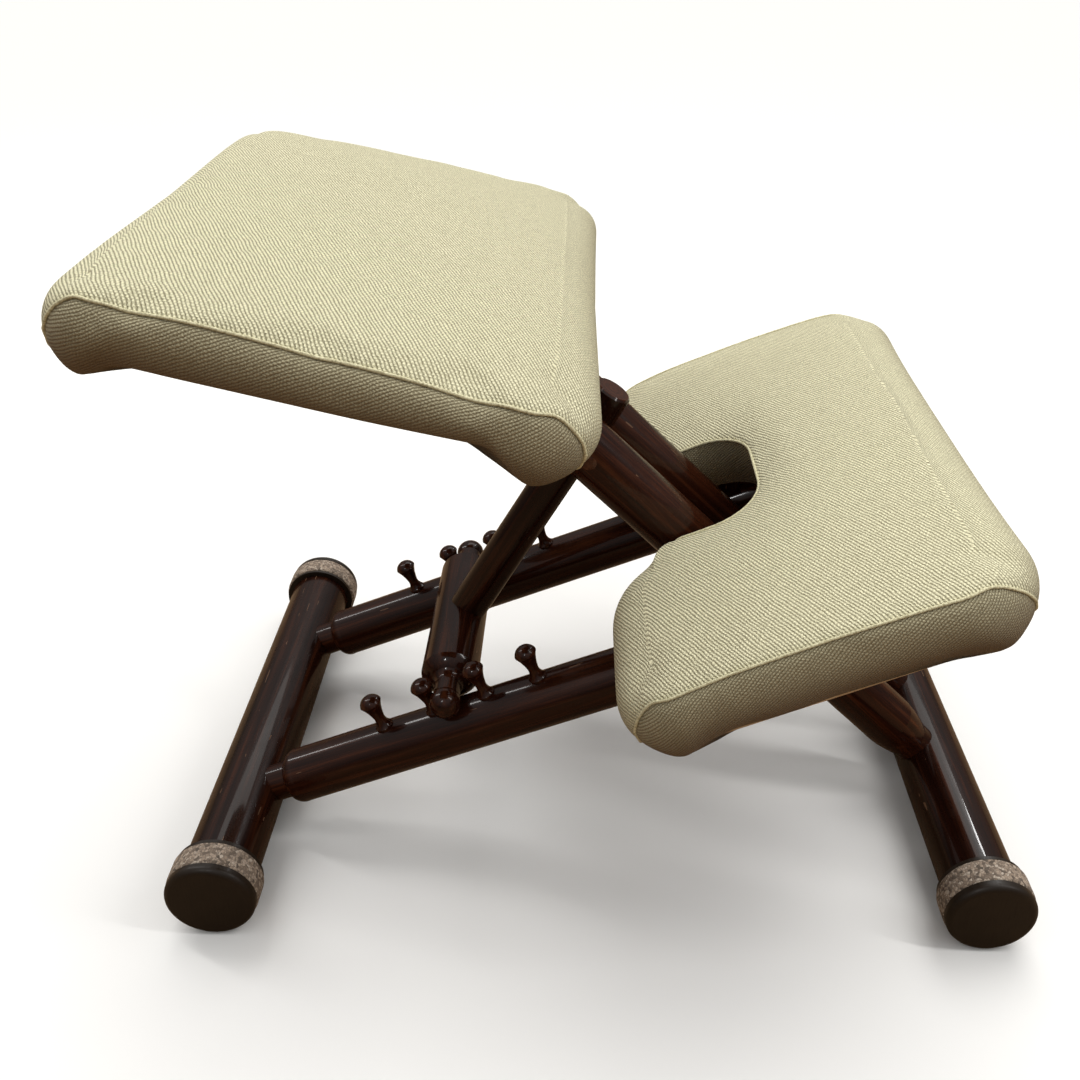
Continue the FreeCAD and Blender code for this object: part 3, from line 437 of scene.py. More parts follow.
def wool_twill(name, pale, furrow):
    """Twill on the fabric's own measure, held in metres by two point attributes of the piece.

    rib = 1/2 + 1/2 sin(2 pi r / pitch), with r square to the ribs; bead = the same along the rib, half
    a yarn float out of step from rib to rib. Colour and bump both follow rib^0.6 * bead, and noise pushes
    the ribs about so that none is ruled straight. The attribute panel picks the side panels' measure
    where it is over one half and darkens those panels toward brown as painted shade, and the attribute
    underside darkens and browns the cloth toward the board as painted shade.
    """
    made = bpy.data.materials.new(name)
    made.use_nodes = True
    add, calc = node_maker(made)
    shader = made.node_tree.nodes["Principled BSDF"]
    where = add("ShaderNodeTexCoord").outputs["Object"]
    main = add("ShaderNodeAttribute", {"attribute_name": "main_cloth"}).outputs["Vector"]
    edge = add("ShaderNodeAttribute", {"attribute_name": "side_cloth"}).outputs["Vector"]
    panel = add("ShaderNodeAttribute", {"attribute_name": "panel"}).outputs["Fac"]
    on_side = calc("GREATER_THAN", panel, 0.5)
    cloth = blend(add, on_side, main, edge)
    slow = add("ShaderNodeTexNoise", Vector=cloth, Scale=55.0, Detail=3.0, Roughness=0.6)
    spun = add("ShaderNodeTexNoise", Vector=cloth, Scale=760.0, Detail=2.0, Roughness=0.6)
    flat = add("ShaderNodeSeparateXYZ", Vector=cloth)
    along, over = flat.outputs["X"], flat.outputs["Y"]
    push = calc("ADD", calc("MULTIPLY", calc("SUBTRACT", slow.outputs["Fac"], 0.5), 0.0032),
                calc("MULTIPLY", calc("SUBTRACT", spun.outputs["Fac"], 0.5), 0.0018))
    slant, rib_pitch, float_length = math.radians(28.0), 0.00235, 0.0026
    square = calc("ADD", calc("ADD", calc("MULTIPLY", along, math.cos(slant)),
                              calc("MULTIPLY", over, math.sin(slant))), push)
    down = calc("SUBTRACT", calc("MULTIPLY", over, math.cos(slant)), calc("MULTIPLY", along, math.sin(slant)))
    count = calc("DIVIDE", square, rib_pitch)
    rib = calc("MULTIPLY_ADD", calc("SINE", calc("MULTIPLY", count, 2 * math.pi)), 0.5, 0.5)
    step = calc("MULTIPLY", calc("FLOOR", calc("ADD", count, 0.25)), 0.5)
    beads = calc("ADD", calc("DIVIDE", calc("ADD", down, calc("MULTIPLY", push, 1.5)), float_length), step)
    bead = calc("MULTIPLY_ADD", calc("SINE", calc("MULTIPLY", beads, 2 * math.pi)), 0.5, 0.5)
    weave = calc("MULTIPLY", calc("POWER", rib, 0.6), calc("MULTIPLY_ADD", bead, 0.52, 0.48))
    weave = calc("ADD", calc("MULTIPLY", weave, 0.8), calc("MULTIPLY", spun.outputs["Fac"], 0.42))
    hair = add("ShaderNodeTexNoise", Vector=cloth, Scale=1500.0, Detail=2.0, Roughness=0.7)
    cloudy = add("ShaderNodeTexNoise", Vector=where, Scale=9.0, Detail=3.0)
    tone = blend(add, add("ShaderNodeMapRange", Value=weave, From_Min=0.14, From_Max=0.80).outputs["Result"],
                 furrow, pale)
    tone = blend(add, calc("MULTIPLY", calc("GREATER_THAN", hair.outputs["Fac"], 0.60), 0.35), tone,
                 tuple(min(1.0, 1.22 * v) for v in pale))
    tone = blend(add, calc("MULTIPLY", calc("LESS_THAN", hair.outputs["Fac"], 0.38), 0.35), tone,
                 tuple(0.75 * v for v in furrow))
    tone = blend(add, calc("MULTIPLY", cloudy.outputs["Fac"], 0.16), tone, tuple(0.8 * v for v in pale))
    # painted shade: the side panels and the knee's notch wall are darkened toward brown, standing in for the shade
    # they sit in
    tone = blend(add, calc("MULTIPLY", on_side, 0.48), tone, (0.13, 0.080, 0.032))
    # painted shade: the cloth darkens toward brown down the band and under the board, by the underside attribute
    low = add("ShaderNodeAttribute", {"attribute_name": "underside"}).outputs["Fac"]
    painted_underside_shade = add("ShaderNodeMapRange", {"interpolation_type": "SMOOTHSTEP"}, Value=low, From_Min=0.12, From_Max=0.85,
                 To_Min=0.0, To_Max=0.82)
    tone = blend(add, painted_underside_shade.outputs["Result"], tone, (0.11, 0.055, 0.013))
    made.node_tree.links.new(tone, shader.inputs["Base Color"])
    shader.inputs["Roughness"].default_value = 0.92
    shader.inputs["Specular IOR Level"].default_value = 0.18
    shader.inputs["Sheen Weight"].default_value = 0.12
    shader.inputs["Sheen Roughness"].default_value = 0.5
    lift = calc("ADD", weave, calc("MULTIPLY", hair.outputs["Fac"], 0.12))
    bump = add("ShaderNodeBump", Strength=0.95, Distance=0.0012, Height=lift)
    made.node_tree.links.new(bump.outputs["Normal"], shader.inputs["Normal"])
    return made


cover = wool_twill("wool_twill", (0.87, 0.825, 0.57), (0.125, 0.10, 0.038))

seam_cloth = bpy.data.materials.new("seam_fold")
seam_cloth.use_nodes = True
add, calc = node_maker(seam_cloth)
shader = seam_cloth.node_tree.nodes["Principled BSDF"]
where = add("ShaderNodeTexCoord").outputs["Object"]
yarn = add("ShaderNodeTexNoise", Vector=where, Scale=900.0, Detail=3.0)
tone = ramp(add, yarn.outputs["Fac"], [(0.35, (0.40, 0.36, 0.21)), (0.6, (0.72, 0.68, 0.46))])
seam_cloth.node_tree.links.new(tone, shader.inputs["Base Color"])
shader.inputs["Roughness"].default_value = 0.92
bump = add("ShaderNodeBump", Strength=0.5, Distance=0.0004, Height=yarn.outputs["Fac"])
seam_cloth.node_tree.links.new(bump.outputs["Normal"], shader.inputs["Normal"])


def rounded_side(corners, counts):
    """Points and outward normals round a polygon whose corners (along, across, radius) are arcs.

    Each arc turns evenly from one edge's direction to the next. The line is cut at the middles of the
    arcs in corners marked with a fourth value, and each stretch gets counts points evenly by length.
    """
    corner = np.array([c[:2] for c in corners], float)
    radius = np.array([c[2] for c in corners], float)
    before = np.roll(corner, 1, axis=0) - corner
    after = np.roll(corner, -1, axis=0) - corner
    before /= np.linalg.norm(before, axis=1)[:, None]
    after /= np.linalg.norm(after, axis=1)[:, None]
    half = np.arccos(np.clip((before * after).sum(1), -1, 1)) / 2
    bisector = before + after
    bisector /= np.linalg.norm(bisector, axis=1)[:, None]
    centre = corner + bisector * (radius / np.sin(half))[:, None]
    arc_points = 81
    turn = np.linspace(0, 1, arc_points)
    first = before * (radius / np.tan(half))[:, None] + corner - centre
    last = after * (radius / np.tan(half))[:, None] + corner - centre
    swing = np.arctan2(first[:, 0] * last[:, 1] - first[:, 1] * last[:, 0], (first * last).sum(1))
    angle = np.arctan2(first[:, 1], first[:, 0])[:, None] + swing[:, None] * turn
    arcs = centre[:, None] + radius[:, None, None] * np.stack([np.cos(angle), np.sin(angle)], 2)
    line = arcs.reshape(-1, 2)
    marks = [arc_points * i + arc_points // 2 for i, c in enumerate(corners) if len(c) > 3]
    line = np.concatenate([line[marks[0]:], line[:marks[0]], line[marks[0]:marks[0] + 1]])
    marks = [m - marks[0] for m in marks] + [len(line) - 1]
    run = np.r_[0, np.cumsum(np.linalg.norm(np.diff(line, axis=0), axis=1))]
    stretches = [np.linspace(run[a], run[b], count, endpoint=False)
                 for a, b, count in zip(marks[:-1], marks[1:], counts)]
    where = np.concatenate(stretches)
    points = np.stack([np.interp(where, run, line[:, k]) for k in (0, 1)], 1)
    step = 1e-4
    lower = np.stack([np.interp((where - step) % run[-1], run, line[:, k]) for k in (0, 1)], 1)
    upper = np.stack([np.interp((where + step) % run[-1], run, line[:, k]) for k in (0, 1)], 1)
    tangent = upper - lower
    tangent /= np.linalg.norm(tangent, axis=1)[:, None]
    return points, np.stack([tangent[:, 1], -tangent[:, 0]], 1)


roll_steps = 14


def roll(side, reach, side_reach, part):
    """Inset and drop of the edge's roll at a share of its way round, from the top's rim to the underside.

    inset = reach (1 - sin a), drop = (cos a0 - cos a) / (cos a0 - cos a1). The angle a runs from a0 to a1,
    which is half a turn in a nose and a shorter, more upright arc on a side panel.
    """
    start, stop = math.radians(36.0) * side, math.pi - math.radians(16.0) * side
    angle = start + (stop - start) * part
    depth = reach * (1 - side) + side_reach * side
    drop = (np.cos(start) - np.cos(angle)) / (np.cos(start) - np.cos(stop))
    return depth * (1 - np.sin(angle) ** (0.85 + 0.15 * side)), drop


def smooth(low, high, value):
    """0 below low, 1 above high, 3t^2 - 2t^3 between."""
    t = np.clip((value - low) / (high - low), 0, 1)
    return t * t * (3 - 2 * t)


def coons(ring, counts):
    """Fills a closed ring of four stretches with a grid: the sum of both rulings less the corner blend."""
    a, b, c, d = np.cumsum(counts)
    front = ring[0:a + 1]
    left = ring[a:b + 1]
    rear = ring[b:c + 1][::-1]
    right = np.concatenate([ring[c:d], ring[0:1]])[::-1]
    u = np.linspace(0, 1, len(front))[None, :, None]
    v = np.linspace(0, 1, len(left))[:, None, None]
    grid = (1 - v) * front[None] + v * rear[None] + (1 - u) * right[:, None] + u * left[:, None]
    return grid - ((1 - u) * (1 - v) * front[0] + u * (1 - v) * front[-1] + (1 - u) * v * rear[0] + u * v * rear[-1])


def grid_index(ring_ids, counts, start):
    """Vertex numbers of a Coons grid whose rim is a ring already numbered, new ones from start."""
    a, b, c, d = np.cumsum(counts)
    rows, columns = counts[1] + 1, counts[0] + 1
    ids = np.full((rows, columns), -1)
    ids[0] = ring_ids[0:a + 1]
    ids[:, -1] = ring_ids[a:b + 1]
    ids[-1] = ring_ids[b:c + 1][::-1]
    ids[:, 0] = np.r_[ring_ids[c:d], ring_ids[0:1]][::-1]
    inner = (rows - 2) * (columns - 2)
    ids[1:-1, 1:-1] = start + np.arange(inner).reshape(rows - 2, columns - 2)
    return ids, start + inner


def quads(ids):
    """The four-sided faces of a grid of point numbers."""
    return np.stack([ids[:-1, :-1], ids[:-1, 1:], ids[1:, 1:], ids[1:, :-1]], 2).reshape(-1, 4)


def make_pad(name, place, plan, counts, board, shape):
    """Builds a pad's mesh before it swells: a crowned top, a band of rows round the edge, and a base.

    place carries (along, across, up) to the chair. plan is the outline's points and outward normals,
    board the points of its board's outline, in step. shape gives the band's rows from the top's rim
    down, each an inset and a height, then the heights where the band meets the board and ends inside
    it, the top's height function, and the function that says where the side panels are. Returns the
    mesh's object, the points that the board holds, and the band's point numbers row by row.
    """
    outline, normal = plan
    rows, rims, top_height, side_weight = shape(outline, normal)
    count = len(outline)
    rings = [np.c_[outline - normal * inset[:, None], up] for inset, up in rows]
    wall = [np.c_[board, np.full(count, h)] for h in rims]
    rings = np.array(rings + wall)
    band_ids = np.arange(rings.shape[0] * count).reshape(rings.shape[0], count)
    top = coons(rings[0], counts)
    bottom = coons(rings[-1], counts)
    top_ids, start = grid_index(band_ids[0], counts, rings.shape[0] * count)
    bottom_ids, end = grid_index(band_ids[-1], counts, start)
    verts = np.zeros((end, 3))
    verts[:rings.shape[0] * count] = rings.reshape(-1, 3)
    verts[top_ids[1:-1, 1:-1]] = top[1:-1, 1:-1]
    verts[bottom_ids[1:-1, 1:-1]] = bottom[1:-1, 1:-1]
    lifted = top_ids[1:-1, 1:-1].ravel()
    verts[lifted, 2] = top_height(verts[lifted, 0], verts[lifted, 1])
    around = np.c_[band_ids, band_ids[:, :1]]
    faces = np.concatenate([quads(top_ids), quads(around)[:, ::-1], quads(bottom_ids)[:, ::-1]])
    # the cloth's own measure, unrolled outward from the top's rim
    steps = np.linalg.norm(np.diff(rings, axis=0), axis=2)
    fall = np.vstack([np.zeros(count), np.cumsum(steps, axis=0)])
    main = np.zeros((end, 3))
    main[:, :2] = verts[:, :2]
    main[band_ids, :2] = rings[0][None, :, :2] + normal[None] * fall[:, :, None]
    run = np.r_[0, np.cumsum(np.linalg.norm(np.diff(outline, axis=0), axis=1))]
    run[:counts[0] // 2] += run[-1] + np.linalg.norm(outline[0] - outline[-1])
    edge = np.zeros((end, 3))
    cut, finer = math.radians(86.0), 1.14
    edge[band_ids, 0] = finer * (run * math.cos(cut) + fall * math.sin(cut))
    edge[band_ids, 1] = finer * (run * math.sin(cut) - fall * math.cos(cut))
    # panel is over one half on the side panels and the knee's notch wall; the cover picks their twill by it and
    # darkens them there as painted shade
    panel = np.zeros(end)
    depth = fall / fall[len(rows) - 1]
    panel[band_ids] = side_weight(outline, normal, depth)
    # underside runs from 0 at the top's rim to 1 at the board and is 1 beneath; the cover darkens the cloth brown by
    # it as painted shade
    under = np.zeros(end)
    under[band_ids] = np.clip(depth, 0, 1)
    under[bottom_ids] = 1.0
    mesh = bpy.data.meshes.new(name)
    mesh.from_pydata(place(verts).tolist(), [], faces.tolist())
    mesh.update()
    for key, kind, values in (("main_cloth", "FLOAT_VECTOR", main), ("side_cloth", "FLOAT_VECTOR", edge),
                              ("panel", "FLOAT", panel), ("underside", "FLOAT", under)):
        mesh.attributes.new(key, kind, "POINT").data.foreach_set(
            "vector" if kind == "FLOAT_VECTOR" else "value", values.ravel())
    piece = bpy.data.objects.new(name, mesh)
    scene.collection.objects.link(piece)
    mesh.materials.append(cover)
    pinned = np.union1d(band_ids[len(rows) - 1:].ravel(), bottom_ids.ravel())
    return piece, pinned, band_ids


def puff(piece, pinned):
    """Cloth pressure swells the free cloth for 20 frames, and each point then moves at most cap.

    moved = cap * tanh(length / cap) along the simulated way. Returns the points' new places.
    """
    mesh = piece.data
    cap, frames = 0.0050, 20
    before = np.empty(len(mesh.vertices) * 3)
    mesh.vertices.foreach_get("co", before)
    group = piece.vertex_groups.new(name="sewn")
    group.add([int(i) for i in pinned], 1.0, "REPLACE")
    cloth = piece.modifiers.new("filling", "CLOTH")
    cloth.settings.vertex_group_mass = "sewn"
    cloth.settings.use_pressure = True
    cloth.settings.uniform_pressure_force = 4.0
    cloth.settings.effector_weights.gravity = 0.0
    cloth.settings.quality = 5
    cloth.settings.tension_stiffness = 15.0
    cloth.settings.compression_stiffness = 15.0
    cloth.settings.bending_stiffness = 12.0
    cloth.settings.air_damping = 2.0
    cloth.point_cache.frame_start, cloth.point_cache.frame_end = 1, frames
    for step in range(1, frames + 1):
        scene.frame_set(step)
    settled = piece.evaluated_get(bpy.context.evaluated_depsgraph_get()).data
    after = np.empty(len(mesh.vertices) * 3)
    settled.vertices.foreach_get("co", after)
    piece.modifiers.remove(cloth)
    piece.vertex_groups.remove(group)
    scene.frame_set(1)
    move = (after - before).reshape(-1, 3)
    length = np.linalg.norm(move, axis=1)
    move *= (cap * np.tanh(length / cap) / np.maximum(length, 1e-9))[:, None]
    swollen = before.reshape(-1, 3) + move
    mesh.vertices.foreach_set("co", swollen.ravel())
    mesh.update()
    # foam rounds off what the cloth leaves creased: evened out, but only along each point's normal
    loose = piece.vertex_groups.new(name="loose")
    loose.add(np.setdiff1d(np.arange(len(mesh.vertices)), pinned).tolist(), 1.0, "REPLACE")
    even = piece.modifiers.new("foam", "SMOOTH")
    even.factor, even.iterations, even.vertex_group = 0.5, 7, "loose"
    settled = piece.evaluated_get(bpy.context.evaluated_depsgraph_get()).data
    settled.vertices.foreach_get("co", after)
    piece.modifiers.remove(even)
    piece.vertex_groups.remove(loose)
    mesh.vertices.foreach_get("normal", before)
    facing = before.reshape(-1, 3)
    rounding = ((after.reshape(-1, 3) - swollen) * facing).sum(1)
    rounded = swollen + facing * rounding[:, None]
    mesh.vertices.foreach_set("co", rounded.ravel())
    mesh.update()
    print(piece.name, "swollen by up to %.1f mm" % (1000 * np.linalg.norm(move, axis=1).max()))
    return rounded


def subdivide(piece):
    """One Catmull-Clark subdivision, made part of the mesh."""
    modifier = piece.modifiers.new("fine", "SUBSURF")
    modifier.levels = modifier.render_levels = 1
    fine = bpy.data.meshes.new_from_object(piece.evaluated_get(bpy.context.evaluated_depsgraph_get()))
    piece.modifiers.remove(modifier)
    coarse = piece.data
    piece.data = fine
    fine.name = piece.name
    bpy.data.meshes.remove(coarse)
    fine.polygons.foreach_set("use_smooth", np.ones(len(fine.polygons), bool))
    fine.update()


def on_band(points, band_ids, column, row):
    """Positions on the band at fractional columns and rows, straight between its four nearest points."""
    count = band_ids.shape[1]
    c0 = np.floor(column).astype(int)
    r0 = np.clip(np.floor(row).astype(int), 0, band_ids.shape[0] - 2)
    fc, fr = (column - c0)[:, None], (row - r0)[:, None]
    left, right = c0 % count, (c0 + 1) % count
    return ((1 - fr) * ((1 - fc) * points[band_ids[r0, left]] + fc * points[band_ids[r0, right]])
            + fr * ((1 - fc) * points[band_ids[r0 + 1, left]] + fc * points[band_ids[r0 + 1, right]]))


def press_seam(piece, path, depth, width=0.0030):
    """Draws the cloth in along a seam: each point sinks by depth * exp(-(distance / width)^2).

    depth varies by 0.35 with waves 12 mm apart along the chair and 15 mm apart in height, as puckers do.
    """
    mesh = piece.data
    co = np.empty(len(mesh.vertices) * 3)
    mesh.vertices.foreach_get("co", co)
    co = co.reshape(-1, 3)
    normals = np.empty(len(mesh.vertices) * 3)
    mesh.vertices.foreach_get("normal", normals)
    normals = normals.reshape(-1, 3)
    margin, batch = 0.012, 64
    low, high = path.min(0) - margin, path.max(0) + margin
    near = np.nonzero(((co > low) & (co < high)).all(1))[0]
    best = np.full(len(near), 1.0)
    for start in range(0, len(path), batch):
        part = path[start:start + batch]
        best = np.minimum(best, np.linalg.norm(co[near][:, None] - part[None], axis=2).min(1))
    pucker = 1 + 0.35 * np.sin(co[near][:, 0] * 520) * np.sin(co[near][:, 2] * 410 + 1.3)
    co[near] -= normals[near] * (depth * pucker * np.exp(-(best / width) ** 2))[:, None]
    mesh.vertices.foreach_set("co", co.ravel())
    mesh.update()


def seam_fold(name, path, radius):
    """The raised fold of a seam: a small round section carried along a path, with tapered ends."""
    tangent = np.gradient(path, axis=0)
    tangent /= np.linalg.norm(tangent, axis=1)[:, None]
    side = np.cross(tangent, (0.3, 0.2, 0.93))
    side /= np.linalg.norm(side, axis=1)[:, None]
    other = np.cross(tangent, side)
    sides = 8
    around = np.linspace(0, 2 * np.pi, sides, endpoint=False)
    step = np.arange(len(path))
    taper = np.minimum(1, np.minimum(step, step[::-1]) / 6 + 0.12)
    size = radius * taper * (1 + 0.06 * np.sin(step * 1.9))
    rings = path[:, None] + size[:, None, None] * (np.cos(around)[None, :, None] * side[:, None]
                                                   + np.sin(around)[None, :, None] * other[:, None])
    ids = np.arange(len(path) * sides).reshape(len(path), sides)
    wrapped = np.c_[ids, ids[:, :1]]
    faces = quads(wrapped).tolist() + [ids[0][::-1].tolist(), ids[-1].tolist()]
    mesh = bpy.data.meshes.new(name)
    mesh.from_pydata(rings.reshape(-1, 3).tolist(), [], faces)
    mesh.materials.append(seam_cloth)
    mesh.polygons.foreach_set("use_smooth", np.ones(len(mesh.polygons), bool))
    mesh.update()
    piece = bpy.data.objects.new(name, mesh)
    scene.collection.objects.link(piece)
    return piece


def even_path(path, step=0.0025):
    """The same line with points evenly spaced by length."""
    run = np.r_[0, np.cumsum(np.linalg.norm(np.diff(path, axis=0), axis=1))]
    even = np.linspace(0, run[-1], int(run[-1] / step))
    return np.stack([np.interp(even, run, path[:, k]) for k in range(3)], 1)


def seam_share(bend):
    """How far down the band a side panel's edge runs: at the rim along the side, to the board round the corner."""
    return np.clip((0.93 - bend) / 0.55, 0, 1) ** 1.3


def sew(piece, name, body, line, depth=0.0010, radius=0.00105):
    """Presses a seam into a pad along a line and lays its raised fold there, riding on the same body."""
    path = even_path(line)
    press_seam(piece, path, depth)
    fold = seam_fold(name, path, radius)
    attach(fold, body)


def side_line(points, band_ids, normal, columns):
    """The edge of a side panel, at the share of the roll that seam_share gives in each column."""
    share = seam_share(np.abs(normal[columns % len(normal), 1]))
    return on_band(points, band_ids, columns[share < 1].astype(float), share[share < 1] * roll_steps)


seat_fall = math.radians(10.0)
seat_origin = np.array([-0.18996, 0.0, 0.50068])
seat_along = np.array([math.cos(seat_fall), 0.0, -math.sin(seat_fall)])
seat_up = np.array([math.sin(seat_fall), 0.0, math.cos(seat_fall)])


def on_seat(local):
    """Carries (along, across, up) points to the chair."""
    return (seat_origin + local[:, :1] * seat_along + local[:, 1:2] * np.array([0.0, 1.0, 0.0])
            + local[:, 2:3] * seat_up)


seat_counts = (100, 64, 100, 64)
seat_plan = rounded_side([(0.1890, -0.2605, 0.050, 1), (0.1890, 0.2605, 0.050, 1), (-0.1495, 0.2310, 0.042, 1),
                          (-0.1495, -0.2310, 0.042, 1)], seat_counts)
seat_board_ring, _ = rounded_side([(0.1313, -0.2415, 0.006, 1), (0.1313, 0.2415, 0.006, 1),
                                   (-0.1003, 0.2180, 0.006, 1), (-0.1003, -0.2180, 0.006, 1)], seat_counts)


def seat_top(along, across):
    """Top height: a crown that falls off both ways, less the front's roll-down, all smooth in along."""
    t = (along + 0.134) / 0.313
    half = 0.239 + 0.1 * along
    crown = 0.0120 * (1 - np.abs(across / half) ** 3.4) * (1 - np.abs(2 * t - 0.9) ** 3 * 0.5)
    return 0.0025 + crown - 0.0058 * np.clip((along + 0.134) / 0.227, 0, 2) ** 2


def seat_under(along):
    """Underside height: the board's face in the middle, a small roll at the rear, a deep one in front."""
    rear = 0.0150 * np.exp(-((along + 0.124) / 0.018) ** 2)
    front = 0.0225 * smooth(0.118, 0.150, along)
    return -0.0333 - rear - front


def seat_shape(outline, normal):
    """Rows of the band: the steps round the roll, then one under the board's edge."""
    side = smooth(0.25, 1.0, np.abs(normal[:, 1]))
    reach = np.where(normal[:, 0] > 0, 0.036, 0.026)
    rim = outline - normal * roll(side, reach, 0.019, 0.0)[0][:, None]
    top = seat_top(rim[:, 0], rim[:, 1])
    low = seat_under(np.clip(outline[:, 0] - 0.012 * normal[:, 0], -0.130, 0.172))
    rows = []
    for part in np.linspace(0, 1, roll_steps + 1):
        inset, drop = roll(side, reach, 0.019, part)
        rows.append((inset, top + (low - top) * drop))
    low = rows[-1][1]
    under = seat_under(outline[:, 0])
    tuck = (1 - side) * np.where(normal[:, 0] > 0, 0.0435, 0.0395)
    rows.append((np.maximum(rows[-1][0] + 0.0006, tuck * 0.86 + side * 0.0120),
                 (1 - side) * (low * 0.35 - 0.0338 * 0.65) + side * (low + 0.0001)))
    return rows, (-0.0331, -0.0207), seat_top, seat_panel


def seat_panel(outline, normal, depth):
    """Over one half inside the side panel: its edge leaves the top's rim where the corner starts to turn."""
    bend = np.abs(normal[:, 1])
    return np.clip(0.5 + 6 * (depth - seam_share(bend)[None] - 0.004), 0, 1) * (bend > 0.3)[None]


seat_pad, seat_sewn, seat_band = make_pad("seat_cushion", on_seat, seat_plan, seat_counts,
                                          seat_board_ring, seat_shape)
seat_points = puff(seat_pad, seat_sewn)
subdivide(seat_pad)
for side, first in (("left", seat_counts[0]), ("right", sum(seat_counts[:3]))):
    columns = np.arange(first - 20, first + seat_counts[1] + 20)
    sew(seat_pad, "seat_seam_" + side, "seat_frame", side_line(seat_points, seat_band, seat_plan[1], columns))

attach(seat_pad, "seat_frame")
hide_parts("seat_pad")


# --- Knee pad ---------------------------------------------------------------------------------------
# A broad cushion along the rails, with a notch in its rear edge that the beams pass through. The notch
# has its own wall panel, sewn on with a raised fold, and the top dips toward it.

rail_along = np.array([math.cos(rail_turn), 0.0, math.sin(rail_turn)])
rail_up = np.array([-math.sin(rail_turn), 0.0, math.cos(rail_turn)])


def on_rails(local):
    """Carries (along, across, up) points, measured from the rear crossbar's axis, to the chair."""
    return (np.array(rear_axis) + local[:, :1] * rail_along + local[:, 1:2] * np.array([0.0, 1.0, 0.0])
            + local[:, 2:3] * rail_up)


knee_counts = (120, 58, 120, 58)
knee_plan = rounded_side([(0.6545, -0.2530, 0.062, 1), (0.6545, 0.2530, 0.062, 1), (0.3590, 0.2610, 0.050, 1),
                          (0.3590, 0.0690, 0.066), (0.496, 0.0690, 0.044), (0.496, -0.0690, 0.044),
                          (0.3590, -0.0690, 0.066), (0.3590, -0.2610, 0.050, 1)], knee_counts)
knee_board_ring, _ = rounded_side([
    (0.5965, -0.2402, 0.006, 1), (0.5965, 0.2402, 0.006, 1), (0.4205, 0.2458, 0.006, 1),
    (0.4205, 0.0738, 0.010), (0.5015, 0.0738, 0.044), (0.5015, -0.0738, 0.044),
    (0.4205, -0.0738, 0.010), (0.4205, -0.2458, 0.006, 1)], knee_counts)


def notch_gap(along, across):
    """Distance outward from the notch's rounded outline."""
    return np.hypot(np.maximum(0, along - 0.452), np.maximum(0, np.abs(across) - 0.0250)) - 0.044


def knee_top(along, across):
    """Top height over the rails: a low crown, falling toward front and rear, dipped round the notch."""
    t = (along - 0.366) / 0.281
    crown = 0.0085 * (1 - np.abs(across / 0.256) ** 3.4) * (1 - 0.4 * np.abs(2 * t - 1) ** 3)
    dip = 0.0075 * np.exp(-np.maximum(notch_gap(along, across), 0) / 0.013) * smooth(0.375, 0.44, along)
    ends = 0.006 * np.clip(1 - t / 0.35, 0, 1) ** 2 + 0.004 * np.clip((t - 0.7) / 0.3, 0, 1) ** 2
    return 0.0845 + crown - dip - ends


def knee_under(along):
    """Underside height: the board's face, with a small roll at the front and the rear."""
    rear = 0.0125 * np.exp(-((along - 0.388) / 0.020) ** 2)
    front = 0.0115 * np.exp(-((along - 0.626) / 0.018) ** 2)
    return 0.0384 - rear - front


def notch_weight(outline):
    """1 on the notch's wall, 0 elsewhere, rising over its mouth's corners."""
    inside = (np.abs(outline[:, 1]) < 0.14) & (outline[:, 0] < 0.53)
    return smooth(0.372, 0.420, outline[:, 0]) * inside


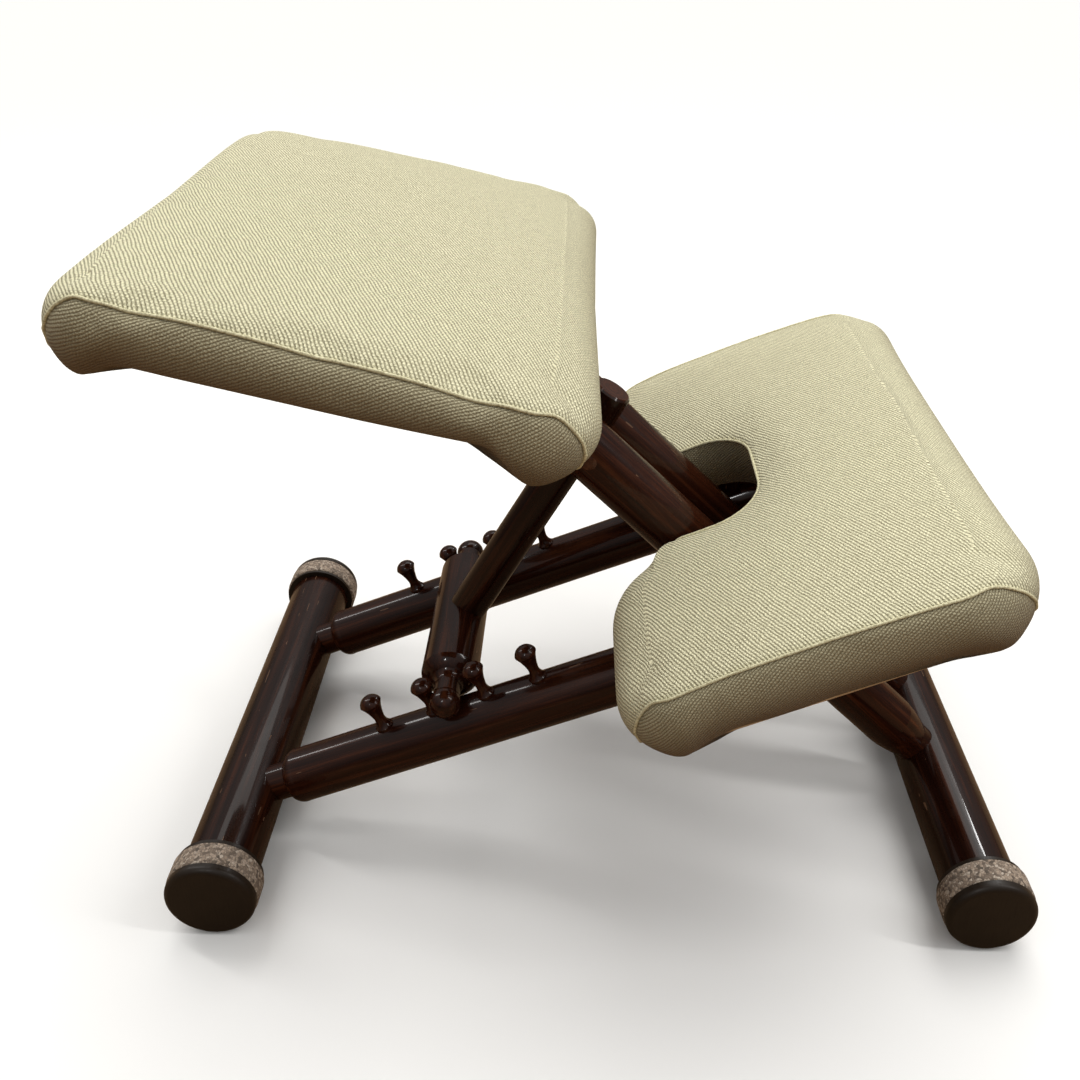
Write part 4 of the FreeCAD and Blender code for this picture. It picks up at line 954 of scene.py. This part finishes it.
def knee_shape(outline, normal):
    """Rows of the band: round noses in front and rear, crisp side panels, an upright wall in the notch."""
    notch = notch_weight(outline)
    side = smooth(0.25, 1.0, np.abs(normal[:, 1])) * (np.abs(outline[:, 1]) > 0.17)
    nose = 1 - side - notch
    rim = outline - normal * (roll(side, 0.036, 0.021, 0.0)[0] * (1 - notch) + 0.0006)[:, None]
    top = knee_top(rim[:, 0], rim[:, 1])
    low = knee_under(np.clip(outline[:, 0] - 0.014 * normal[:, 0] * nose, 0.380, 0.632))
    low = low * (1 - notch) + 0.0387 * notch
    rows = []
    for part in np.linspace(0, 1, roll_steps + 1):
        inset, drop = roll(side, 0.036, 0.021, part)
        wall_in = 0.0006 + 0.0012 * math.sin(math.pi * part) + 0.0026 * smooth(0.6, 1.0, part)
        upright = math.sin(part * math.pi / 2) ** 0.92
        rows.append((inset * (1 - notch) + notch * wall_in,
                     top + (low - top) * (drop * (1 - notch) + notch * upright)))
    low = rows[-1][1]
    tuck = nose * np.where(outline[:, 0] > 0.5, 0.0500, 0.0520)
    rows.append((np.maximum(rows[-1][0] + 0.0006, tuck * 0.86 + side * 0.0125 + notch * 0.0044),
                 nose * (low * 0.35 + 0.0384 * 0.65) + (1 - nose) * (low - 0.0001)))
    return rows, (0.0388, 0.0512), knee_top, knee_panel


def knee_panel(outline, normal, depth):
    """Over one half inside the side panels and the notch's wall."""
    bend = np.abs(normal[:, 1])
    outer = (np.abs(outline[:, 1]) > 0.17) & (bend > 0.3)
    sides = np.clip(0.5 + 6 * (depth - seam_share(bend)[None] - 0.004), 0, 1) * outer[None]
    wall = np.clip(0.5 + 6 * (depth - (1 - smooth(0.385, 0.425, outline[:, 0]))[None] - 0.004), 0, 1)
    return np.maximum(sides, wall * (notch_weight(outline) > 0)[None])


knee_pad, knee_sewn, knee_band = make_pad("knee_cushion", on_rails, knee_plan, knee_counts,
                                          knee_board_ring, knee_shape)
outline, normal = knee_plan
wall_columns = np.nonzero(notch_weight(outline) > 0.55)[0]
knee_sewn = np.union1d(knee_sewn, knee_band[:, wall_columns].ravel())
knee_points = puff(knee_pad, knee_sewn)
subdivide(knee_pad)
for side, first in (("left", knee_counts[0]), ("right", sum(knee_counts[:3]))):
    columns = np.arange(first - 24, first + knee_counts[1] + 24)
    sew(knee_pad, "knee_seam_" + side, "rail_frame", side_line(knee_points, knee_band, normal, columns))
columns = np.arange(sum(knee_counts[:2]), sum(knee_counts[:3]))
begin = 1 - smooth(0.385, 0.425, outline[columns, 0])
keep = (begin < 0.8) & (notch_weight(outline)[columns] > 0)
notch_line = on_band(knee_points, knee_band, columns[keep].astype(float), begin[keep] * roll_steps)
sew(knee_pad, "notch_seam", "rail_frame", notch_line, depth=0.0008, radius=0.0012)

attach(knee_pad, "rail_frame")
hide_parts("knee_pad")
